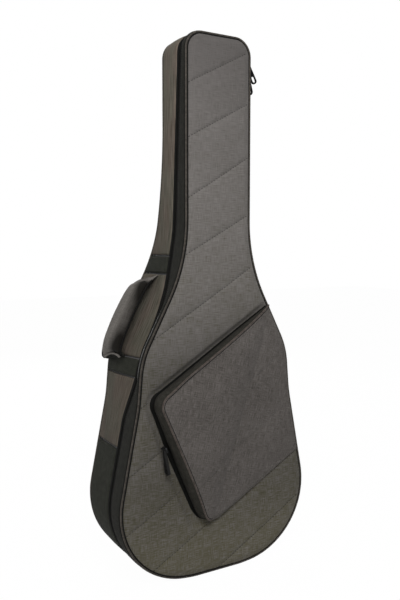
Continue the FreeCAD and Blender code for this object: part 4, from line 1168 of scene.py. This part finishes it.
# ---------------------------------------------------------------- front pocket
def pocket_top(x, z):
    """Depth of the pocket's front: its height, a soft crown and rolled edges."""
    away = over_fold(x, z)
    inside = min(-pocket_distance(x, z), edge_distance(x, z) - POCKET_INSET)
    height = pocket_stand(x, z)
    crown = 0.0030 * smooth(inside / 0.05) + quilt(x, z, 0.0014, 0.012) * smooth(inside / 0.02)
    crown += 0.0006 * ripple((x, z, 8), 0.05)
    hem = smooth(-away / 0.03 + 0.4)
    low = max(0.0, 1 - inside / min(0.012, max(0.004, height)))
    drop = 0.0022 * rolled(inside, 0.006) * (1 - hem)
    drop += hem * (height - 0.0004) * (1 - math.sqrt(max(0.0, 1 - low * low)))
    return FRONT - height - crown * smooth(inside / 0.014) + drop


def pocket_place(x, z):
    return Vector((x, pocket_top(x, z), z))


def pocket_front():
    """The pocket's face: one padded sheet from the proud zip edge to the flat hem, folding between."""
    seam = 0.0009

    def meets(slope, x0, z0):
        """Height at which one of the pocket's long edges reaches the bag's right edge."""
        return min(HALF, key=lambda st: abs(z0 + slope * (st.x - POCKET_INSET - x0) - st.z)
                   + (0 if 0.1 < st.z < 0.7 else 1)).z

    right = between(HALF, meets(HEM_SLOPE, *HEM_BASE), meets(TOP_SLOPE, *POCKET_LEFT))
    lines = []
    for v in spread(0, 1, 110):
        nudge = Vector((TOP_NORMAL if v > 0.5 else BASE_NORMAL)) * -seam * abs(2 * v - 1) ** 8
        edge = Vector(right[round(v * (len(right) - 1))].inward(POCKET_INSET + 0.0004)) + nudge
        far = Vector(HEM_BASE).lerp(Vector(POCKET_LEFT), v) + Vector(LEFT_NORMAL) * POCKET_PUFF + nudge
        lo, hi = 0.0, 1.0
        for _ in range(24):
            mid = (lo + hi) / 2
            if pocket_distance(*far.lerp(edge, mid)) > -seam:
                lo = mid
            else:
                hi = mid
        lines.append((far.lerp(edge, hi if hi < 0.6 else 0.0), edge))

    def faces(line, u):
        x, z = line[0].lerp(line[1], u)
        y = pocket_top(x, z)
        return Vector((x, y, z)), Vector((x, max(min(FRONT - GAP, y + POCKET_SKIN), y + 0.0002), z))

    piece = sheet("pocket_front", lines, spread(0, 1, 110), faces,
                  lambda p: (p.x * FOLD[1] - p.z * FOLD[0], p.x * FOLD[0] + p.z * FOLD[1]), POCKET_CLOTH)
    depth = FRONT - FOLD_RISE
    ends = [(POCKET_BASE[0] + ACROSS[0] * reach, depth, POCKET_BASE[1] + ACROSS[1] * reach)
            for reach in (-0.012, 0.012)]
    flex(piece, ("pocket_panel", "pocket_flap"), ends)


POCKET_PATH = pocket_edge(0.0025, POCKET_INSET)
OPEN_RUN = [st for st in POCKET_PATH if over_fold(st.x, st.z) > 0.001]
ZIP_INSET = POCKET_INSET + 0.004


def zip_level(st, up):
    """Depth of a line this far above the middle of the pocket's zip."""
    share = 0.5 - 0.25 * (1 - pocket_lean(st.x, st.z))
    return FRONT - max(0.0, max(0.0034, pocket_height(st.x, st.z) * share - ZIP_DROP) + up)


def leaning(st, y):
    """How far out the slanting wall stands at this depth."""
    share = (FRONT - y) / pocket_stand(st.x, st.z)
    return POCKET_FLARE * pocket_lean(st.x, st.z) * (1 - min(1.0, share))


def pocket_strip(name, upper, lower, mat, slot, body, node_name, swell_out, out=0.0, thick=POCKET_SKIN, columns=6):
    """Strip of the pocket's wall between two depths, each by station."""
    edge = 0.0008

    def section(st):
        far, near = upper(st), lower(st)
        outer = []
        for t in spread(0, 1, columns):
            y = far + (near - far) * t
            puff = swell_out * math.sin(math.pi * t) * smooth(over_fold(st.x, st.z) / 0.06)
            outer.append((out + puff - edge + leaning(st, y), y))
        return outer + [(out - thick + leaning(st, y), y) for y in (near, far)]

    run = OPEN_RUN if body == "pocket_flap" else [st for st in OPEN_RUN if edge_distance(st.x, st.z) > ZIP_INSET]
    settle(sweep(name, run, section, mat), body, slot, node_name)


def pocket_walls():
    """Gusset and zip round the pocket's two open edges."""
    pocket_strip("pocket_gusset_upper", lambda st: FRONT - pocket_stand(st.x, st.z) + POCKET_SKIN,
                 lambda st: zip_level(st, POCKET_COIL), FLANK_CLOTH, "rim_cloth", "pocket_flap",
                 "pocket_gusset_flap", 0.0018)
    # the lid's gusset in near-black cloth: partly its own dark cloth, partly painted shade at the foot of the pocket's
    # wall
    pocket_strip("pocket_gusset_lower", lambda st: zip_level(st, -POCKET_COIL), lambda st: FRONT - GAP,
                 BLACK_CLOTH_AND_SHADE, "rim_cloth", "lid", "pocket_gusset_lid", 0.0008)
    fine = [st for st in pocket_edge(0.00125, ZIP_INSET) if over_fold(st.x, st.z) > 0.001]
    for owner, body, sign, far, near in (("flap", "pocket_flap", -1, -POCKET_COIL, -0.0016),
                                         ("lid", "lid", 1, 0.0016, POCKET_COIL)):
        pocket_strip(f"pocket_zip_{owner}_tape", lambda st: zip_level(st, 0) + far, lambda st: zip_level(st, 0) + near,
                     ZIP_TAPE, "zip_tape", body, f"pocket_zip_{owner}", 0.0006, -0.0004, 0.0016, 2)

        def middle(st):
            y = zip_level(st, 0) + sign * 0.0011
            return leaning(st, y) - 0.0008, y
        coil(f"pocket_coil_{owner}", fine, sign, middle, body, pitch=0.00125, size=0.0012, between_teeth=0.7)


def pocket_trim():
    """Piping of the pocket's open edges with a cord of painted shade in the crease beside it, its sewn hem and its
    quilting seams.
    """
    piece = sweep("pocket_cord", OPEN_RUN,
                  lambda st: circle(-0.0016, pocket_top(*st.inward(0.002)) + 0.0008, 0.0019, 9), POCKET_CORD)
    settle(piece, "pocket_flap", "piping", "pocket_piping")
    sunk = [pocket_place(*st.inward(0.0044)) + Vector((0, 0.0002, 0)) for st in OPEN_RUN]
    # thin dark cord: painted shade in the crease just inside the piping
    settle(cord_between("pocket_groove", sunk, 0.0007, BLACK_CLOTH_AND_SHADE), "pocket_flap", "piping")
    for row, inset in enumerate((0.0045, 0.0095)):
        spots = [st.inward(inset) for st in POCKET_PATH]
        path = [(pocket_place(x, z), TO_FRONT) for x, z in spots
                if over_fold(x, z) < -0.004 and edge_distance(x, z) > POCKET_INSET + 0.006]
        for k, run in enumerate(split_runs(path, 0.02)):
            sew(f"pocket_hem_{row}_{k}", run, THREAD, "lid", "pocket_cloth")

    def kept(x, z):
        return (pocket_distance(x, z) < -0.005 and edge_distance(x, z) > ZIP_INSET
                and over_fold(x, z) * side > 0.013)

    for k, seam in enumerate(SEAMS):
        for side, word, body in ((1, "flap", "pocket_flap"), (-1, "hem", "lid")):
            for i, run in enumerate(seam_runs(seam, -0.16, 0.21, pocket_top, kept)):
                sew(f"pocket_seam_{k}_{i}_{word}", run, DARK_THREAD_AND_SHADE, body, "pocket_cloth")


# ---------------------------------------------------------------- side handle
GRIP_WIDTH, GRIP_THICK, GRIP_ROOT, GRIP_CENTRE = 0.066, 0.016, 0.0165, 0.031
GRIP_HIGH_Z, GRIP_LOW_Z, GRIP_SKEW, GRIP_TUCK, GRIP_ARCH = 0.605, 0.440, 0.0075, 0.008, 0.009
GRIP_HIGH = Vector((-half_width(GRIP_HIGH_Z), GRIP_CENTRE, GRIP_HIGH_Z))
GRIP_LOW = Vector((-half_width(GRIP_LOW_Z), GRIP_CENTRE, GRIP_LOW_Z))
GRIP_SPAN = (GRIP_LOW - GRIP_HIGH).length
CHORD = (GRIP_LOW - GRIP_HIGH).normalized()
AWAY = Vector((CHORD.z, 0, -CHORD.x))
SIDEWAYS = CHORD.cross(AWAY)
HALF_GRIP = GRIP_WIDTH / 2 - 0.003

# the roll's middle line from the upper root to the lower one: along, up and half thickness
ROLL = ((0.012, 0.0165, 0.0060), (0.024, 0.0225, 0.0080), (0.045, 0.0258, 0.0100), (0.075, 0.0280, 0.0112),
        (0.110, 0.0290, 0.0116), (0.142, 0.0285, 0.0112), (0.163, 0.0262, 0.0100), (0.1735, 0.0215, 0.0085),
        (0.1745, 0.0165, 0.0070))


def grip_point(along, up, side):
    """A point on the sewn handle: its back edge hangs lower, its front edge tucks in to the bag."""
    w = side / HALF_GRIP
    tuck = GRIP_TUCK * smooth(up / 0.026) * max(0.0, -w) ** 1.4
    arch = GRIP_ARCH * smooth((along - 0.140) / 0.035) * smooth(up / 0.012) * max(0.0, 1 - w * w)
    return GRIP_HIGH + CHORD * (along + GRIP_SKEW * w - arch) + AWAY * (up - tuck) + SIDEWAYS * side


def grip_path():
    """Smooth run through ROLL: (along, up, normal along, normal up, half thickness)."""
    spots, steps = [], 8
    for k in range(len(ROLL) - 1):
        before, a, b, after = (ROLL[min(max(i, 0), len(ROLL) - 1)] for i in (k - 1, k, k + 1, k + 2))
        for j in range(steps):
            t = j / steps
            spots.append([0.5 * (2 * q + (r - p) * t + (2 * p - 5 * q + 4 * r - s) * t * t
                                 + (3 * q - p - 3 * r + s) * t**3) for p, q, r, s in zip(before, a, b, after)])
    spots.append(list(ROLL[-1]))
    path = []
    for k, (along, up, half) in enumerate(spots):
        before, after = spots[max(k - 1, 0)], spots[min(k + 1, len(spots) - 1)]
        run = Vector((after[0] - before[0], after[1] - before[1])).normalized()
        path.append((along, up, -run.y, run.x, half))
    return path


def cord_between(name, points, radius, mat):
    """Round cord through points."""
    rows, weave, run, sides = [], [], 0.0, 8
    for k, point in enumerate(points):
        ahead = (points[min(k + 1, len(points) - 1)] - points[max(k - 1, 0)]).normalized()
        first = ahead.orthogonal().normalized()
        first = (AWAY - ahead * AWAY.dot(ahead)).normalized() if abs(AWAY.dot(ahead)) < 0.95 else first
        second = ahead.cross(first)
        if k:
            run += (point - points[k - 1]).length
        rows.append([point + first * x + second * y for x, y in circle(0, 0, radius, sides)])
        weave += [(run, radius * a) for a in turns(sides)]
    return loft(name, rows, mat, weave)


def handle():
    """Padded roll with bound edges, and the two ends, sewn to the bag's side."""
    path = grip_path()
    rows = []
    for along, up, na, nu, thick in path:
        section = []
        for face, w in both_faces(16):
            deep = (0.0016 + (thick - 0.0040) * math.sqrt(max(0.0, 1 - abs(w) ** 2.3))) * face
            section.append(grip_point(along + na * deep, up + nu * deep, HALF_GRIP * w))
        rows.append(section)
    grip = loft("grip", rows, ROLL_CLOTH_PAINTED_SHADE)
    inflate(grip, VOXEL, cap=0.0045)
    weave_by(grip, lambda p: ((p - GRIP_HIGH).dot(SIDEWAYS), (p - GRIP_HIGH).dot(CHORD)))
    settle(grip, "handle", "grip_cloth", "handle_grip")
    for word, side, nodes in (("front", -1, ["handle_binding"]), ("back", 1, [])):
        edge = [grip_point(along, up, side * (HALF_GRIP + 0.0008)) for along, up, *_ in path]
        settle(cord_between(f"grip_binding_{word}", edge, 0.0020, BLACK_CLOTH_AND_SHADE), "handle", "rim_cloth", *nodes)
    hem = [grip_point(ROLL[-1][0] + 0.0055, GRIP_ROOT + 0.0035, HALF_GRIP * (j / 13 - 1)) for j in range(25)]
    settle(cord_between("grip_hem", hem, 0.0022, GRIP_CLOTH), "handle", "grip_cloth")
    handle_end("upper", ROLL[0][0], 0.004, GRIP_CLOTH)
    handle_end("lower", ROLL[-1][0], GRIP_SPAN - GRIP_THICK / 2, RIM_CLOTH)


def wall_height(along):
    """Height of the bag's side over the handle's chord."""
    up, lowest, step, clear = 0.02, -0.03, 0.0003, 0.0016
    while up > lowest:
        spot = GRIP_HIGH + CHORD * along + AWAY * up
        if edge_distance(spot.x, spot.z) > -clear:
            break
        up -= step
    return up


def handle_end(word, root, foot, mat):
    """Cloth end from the grip's root to the foot where it is sewn to the bag's side."""
    half, top = HALF_GRIP + 0.001, GRIP_ROOT + 0.002
    rows, weave = [], []
    for t in spread(0, 1, 10):
        thick = 0.0068 - 0.0040 * smooth(t)
        section = []
        for face, w in both_faces(12):
            along = root + (foot - root) * t + thick * (1 - 0.6 * abs(w) ** 3) * face
            along -= 0.008 * t * max(0.0, -w) if word == "upper" else 0
            up = top + (wall_height(along + GRIP_SKEW * w) - top) * t
            section.append(grip_point(along, up, half * w))
            weave.append((half * w, along + up))
        rows.append(section)
    flex(loft(f"grip_end_{word}", rows, mat, weave), (f"handle_end_{word}",),
         (tuple(grip_point(foot, 0.004, 0)), tuple(grip_point(root, GRIP_ROOT, 0))))


# ---------------------------------------------------------------- carrying straps and loop
STRAP_TOP, STRAP_LOW, STRAP_SPREAD, STRAP_LOW_X, STRAP_WIDTH, STRAP_THICK = 0.575, 0.265, 0.034, 0.088, 0.056, 0.012
WEB_WIDTH, WEB_THICK, ANCHOR_X, ANCHOR_Z, ANCHOR_HEIGHT, ANCHOR_LENGTH = 0.036, 0.0018, 0.118, 0.165, 0.044, 0.060
BUCKLE_THICK, BUCKLE_RAIL, BUCKLE_SLOT = 0.005, 0.004, 0.007
BUCKLE_TOP = STRAP_LOW - 2 * GAP - WEB_THICK
BUCKLE_BAR = BUCKLE_TOP - BUCKLE_RAIL - BUCKLE_SLOT
BUCKLE_BASE = BUCKLE_BAR - 2 * BUCKLE_RAIL - BUCKLE_SLOT
BUCKLE_BACK = BACK + 2 * GAP + WEB_THICK
# the plane that the straps lie on, and how close cloth lies to it
STRAP_FACE, LAID = BACK + GAP, 0.0001


def webbing(name, path, width, thick, mat, side=Vector((1, 0, 0)), ring=False):
    """Flat woven strip along a path of points, its width along side."""
    rows, weave, run = [], [], 0.0
    last = len(path) - 1
    places = spread(-1, 1, 8)
    for k, point in enumerate(path):
        before = path[k - 1] if k or ring else point
        after = path[(k + 1) % len(path)] if k < last or ring else point
        out = (after - before).cross(side).normalized()
        if k:
            run += (point - path[k - 1]).length
        rise = [thick / 2 - 0.25 * thick * max(0.0, abs(w) - 0.7) / 0.3 for w in places]
        middle = [point + side * width / 2 * w for w in places]
        rows.append([p + out * r for p, r in zip(middle, rise)] + [p - out * r for p, r in zip(middle, rise)][::-1])
        weave += [(run, width * w / 2) for w in places + places[::-1]]
    return loft(name, rows, mat, weave, ring)


def bow(y, z, size, start, stop, count):
    """Arc of (depth, height) pairs between two angles in degrees."""
    return [(y + size * math.cos(a), z + size * math.sin(a)) for a in map(math.radians, spread(start, stop, count))]


def round_bar(low, high):
    """Depth and height along webbing that is folded round a bar of the buckle."""
    near, far = BUCKLE_BACK - GAP, BUCKLE_BACK + BUCKLE_THICK + GAP
    foot, roof = low - GAP, high + GAP
    corners = ((near, roof, 180), (far, roof, 90), (far, foot, 0), (near, foot, -90))
    return [spot for y, z, start in corners for spot in bow(y, z, WEB_THICK / 2, start, start - 90, 4)]


def strap(word, sign):
    """Padded carrying strap: bound pad, webbing run, ladder buckle and sewn anchor."""
    top, low = Vector((sign * STRAP_SPREAD, 0, STRAP_TOP)), Vector((sign * STRAP_LOW_X, 0, STRAP_LOW))
    length = (low - top).length
    run = (low - top).normalized()
    side = Vector((run.z, 0, -run.x))
    corner, edge = STRAP_WIDTH / 4, 0.001

    def half_at(s):
        near = min(s, length - s)
        if near >= corner:
            return STRAP_WIDTH / 2
        return STRAP_WIDTH / 2 - corner + math.sqrt(max(0.0, corner**2 - (corner - near) ** 2))

    def at(s, half, w, rise=0.0):
        return top + run * s + side * half * w + TO_BACK * (STRAP_FACE + rise)

    def faces(s, w):
        full = 0.35 + 0.65 * smooth(min(s, length - s) / 0.02)
        rise = 0.0022 + (STRAP_THICK - 0.0042) * (1 - abs(w) ** 2.6) * full
        half = half_at(s) - 0.0016
        return at(s, half, w, rise), at(s, half, w, 0.0009)

    pad = sheet(f"strap_pad_{word}_soft", spread(edge, length - edge, 90), spread(-1, 1, 12), faces, None, GRIP_CLOTH)
    inflate(pad, VOXEL, cap=0.0022)
    for vertex in pad.data.vertices:
        vertex.co.y = max(vertex.co.y, STRAP_FACE + LAID)
    weave_by(pad, lambda p: ((p - top).dot(side), (p - top).dot(run)))
    settle(pad, "tub", "grip_cloth", f"strap_pad_{word}")
    places = spread(0, length, 120)
    rim = [at(s, half_at(s), 1) for s in places] + [at(s, half_at(s), -1) for s in places[::-1]]
    rows, weave, travel = [], [], 0.0
    for k, point in enumerate(rim):
        following = rim[(k + 1) % len(rim)]
        ahead = following - rim[k - 1]
        out = (ahead.normalized() if ahead.length > 1e-6 else run).cross(TO_BACK).normalized()
        rows.append([point + out * (0.0017 * math.cos(a) - 0.0012) + TO_BACK * (0.0027 + 0.0024 * math.sin(a))
                     for a in turns(10)])
        weave += [(travel, j * 0.0012) for j in range(10)]
        travel += (following - point).length
    settle(loft(f"strap_binding_{word}", rows, RIM_CLOTH, weave, True), "tub", "rim_cloth")

    x = sign * STRAP_LOW_X
    tab = [Vector((x, y, z)) for y, z in round_bar(BUCKLE_TOP - BUCKLE_RAIL, BUCKLE_TOP)]
    settle(webbing(f"strap_tab_{word}_web", tab, WEB_WIDTH, WEB_THICK, WEBBING, ring=True), "tub", "webbing",
           f"strap_tab_{word}")
    start = Vector((sign * ANCHOR_X, STRAP_FACE + WEB_THICK / 2, ANCHOR_Z + GAP))
    stop = Vector((x, STRAP_FACE + WEB_THICK / 2, BUCKLE_BASE))
    path = [start.lerp(stop, t) + TO_BACK * (0.0004 * math.sin(math.pi * t) ** 2) for t in spread(0, 1, 30)]
    path += [Vector((x, y, z)) for y, z in round_bar(BUCKLE_BAR - BUCKLE_RAIL, BUCKLE_BAR)[:16]]
    settle(webbing(f"strap_web_{word}", path, WEB_WIDTH, WEB_THICK, WEBBING), "tub", "webbing",
           f"strap_webbing_{word}")
    anchor(word, sign)


def anchor(word, sign):
    """Stitched triangle that holds the webbing to the bag."""
    inner, outer = ANCHOR_X - WEB_WIDTH / 2, ANCHOR_X + WEB_WIDTH / 2
    corners = ((inner, ANCHOR_Z), (inner, ANCHOR_Z - ANCHOR_HEIGHT),
               (ANCHOR_X + ANCHOR_LENGTH / 2, ANCHOR_Z - ANCHOR_HEIGHT / 2), (outer, ANCHOR_Z))
    a, b, c, d = (Vector((sign * x, 0, z)) for x, z in corners)
    rise = 0.0021

    def faces(t, u):
        spot = a.lerp(b, t).lerp(d.lerp(c, t), u)
        lift = rise - 0.0008 * rolled(min(u, 1 - u, t, 1 - t), 0.06) + 0.0002 * ripple((spot.x, spot.z, 3), 0.012)
        return spot + TO_BACK * (STRAP_FACE + lift), spot + TO_BACK * (STRAP_FACE + LAID)

    piece = sheet(f"anchor_{word}", spread(0, 1, 24), spread(0, 1, 20), faces, lambda p: (p.x, p.z), DARK_CLOTH)
    settle(piece, "tub", "dark_cloth", f"strap_anchor_{word}")
    centre = (a + b + c + d) / 4
    ring = [centre + (p - centre) * 0.86 for p in (a, b, c, d, a)]
    for k, line in enumerate((ring, (ring[0], ring[2]), (ring[1], ring[3]))):
        path = [(p.lerp(q, t) + TO_BACK * (STRAP_FACE + rise), TO_BACK)
                for p, q in zip(line, line[1:]) for t in spread(0, 1, 12)]
        sew(f"anchor_seam_{word}_{k}", path, THREAD, "tub", "dark_cloth")


def yoke():
    """Dark cloth yoke where both straps are sewn to the back."""
    low, high = STRAP_TOP + GAP, BACK_BEND - 0.002
    rise, margin = 0.0036, 0.004

    def half_at(t):
        return STRAP_SPREAD + STRAP_WIDTH / 2 * (1 - t)

    def faces(t, u):
        roll = 0.0016 * rolled(min(1 - abs(u), t * 0.4, (1 - t) * 0.4), 0.06)
        x, z = half_at(t) * u, low + (high - low) * t
        return Vector((x, STRAP_FACE + rise - roll, z)), Vector((x, STRAP_FACE + LAID, z))

    piece = sheet("yoke", spread(0, 1, 12), spread(-1, 1, 60), faces, lambda p: (p.x, p.z), DARK_CLOTH)
    settle(piece, "tub", "dark_cloth", "strap_yoke")
    for k, z in enumerate((low + margin, high - margin)):
        half = half_at((z - low) / (high - low)) - margin
        path = [(Vector((x, STRAP_FACE + rise, z)), TO_BACK) for x in spread(-half, half, 40)]
        sew(f"yoke_seam_{k}", path, THREAD, "tub", "dark_cloth")


LOOP_PLACE, LOOP_DROP, LOOP_WIDTH, LOOP_THICK, LOOP_STAND = 0.985, 0.070, 0.025, 0.002, 0.014


def hanging_loop():
    """Webbing loop sewn to the back of the head."""
    bend = LOOP_STAND / 2 - LOOP_THICK / 2
    near, far = HEAD_BACK + GAP, HEAD_BACK + LOOP_STAND - LOOP_THICK / 2
    low, high = LOOP_PLACE + LOOP_THICK / 2, LOOP_PLACE + LOOP_DROP - LOOP_THICK / 2
    path = [(near, low), *bow(far - bend, low + bend, bend, -90, 0, 8)]
    path += [(far + 0.0003 * math.sin(math.pi * t), low + bend + (high - low - 2 * bend) * t)
             for t in spread(0, 1, 20)[1:-1]]
    path += [*bow(far - bend, high - bend, bend, 0, 90, 8), (near, high)]
    settle(webbing("head_loop", [Vector((0, y, z)) for y, z in path], LOOP_WIDTH, LOOP_THICK, WEBBING),
           "tub", "webbing", "hanging_loop")


# ---------------------------------------------------------------- padding blocks inside
def blocks():
    """Neck cradle, tail block and head pad as stuffed fleece blocks, and the neck strap."""
    for name, source, voxel, cap in (("cradle", "neck_cradle", 0.004, 0.003), ("tail_pad", "tail_block", 0.005, 0.004),
                                     ("head_cushion", "head_pad", 0.005, 0.003)):
        piece = stuffed_copy(name, source, LINING, voxel, cap)
        settle(piece, "tub", "lining", source)
    low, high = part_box("neck_strap")
    middle = [Vector((x, (low[1] + high[1]) / 2, (low[2] + high[2]) / 2)) for x in spread(low[0], high[0], 40)]
    piece = webbing("neck_strap_web", middle, high[2] - low[2], high[1] - low[1], WEBBING, Vector((0, 0, 1)))
    settle(piece, "neck_strap", "lining", "neck_strap")


# ---------------------------------------------------------------- sliders, pulls and buckles
def proud(name, node_name, mat, slot, shift, wider, deeper, held_by=""):
    """A CAD fitting remade fuller about its own middle line, and carried out with the swollen cloth.

    A soft pull that hangs from its slider has its mesh fixed where it stands.
    """
    mesh = cad_copy(node_name, mat)
    low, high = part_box(node_name)
    for vertex in mesh.vertices:
        for axis, scale in ((0, wider), (1, deeper)):
            middle = (low[axis] + high[axis]) / 2
            vertex.co[axis] = middle + (vertex.co[axis] - middle) * scale
        vertex.co += shift
    piece = link_up(name, mesh)
    if held_by:
        heights = [vertex.co.z for vertex in mesh.vertices]
        ends = [mesh.vertices[heights.index(end)].co.copy() for end in (max(heights), min(heights))]
        flex(piece, (node_name,), ends)
    else:
        settle(piece, node_name, slot, node_name)


def fittings():
    """Zip sliders, their pulls and the strap buckles."""
    outward = (Vector((LEFT_NORMAL[0], 0, LEFT_NORMAL[1])) * (POCKET_PUFF + 0.97 * POCKET_FLARE)
               + Vector((0, -0.001, 0)))
    proud("pocket_runner", "pocket_slider", METAL, "slider_metal", outward, 1.2, 1.0)
    for name, node_name, shift, wider, deeper, held_by in (
            # the pocket's pull made 2.3 times wider than its CAD solid: partly the real pull, partly painted shadow
            # beside the pocket's wall
            ("pocket_tag", "pocket_pull", outward + Vector((0.0010, -0.0065, 0)), 2.3, 1.1, "pocket_slider"),
            ("tag_high", "pull_high", Vector((-0.0020, 0, 0.006)), 0.9, 1.4, "slider_high"),
            ("tag_low", "pull_low", Vector((0.0012, 0, 0.003)), 1.0, 1.4, "slider_low")):
        proud(name, node_name, RUBBER, "pull_rubber", shift, wider, deeper, held_by)
    dress(METAL, "slider_high", "slider_low")
    dress(PLASTIC, "strap_buckle_left", "strap_buckle_right")


front_panel()
lid_trim()
zip_halves()
hinge_web()
side_fabric()
tub_trim()
padding()
pocket_front()
pocket_walls()
pocket_trim()
handle()
strap("left", -1)
strap("right", 1)
yoke()
hanging_loop()
blocks()
fittings()
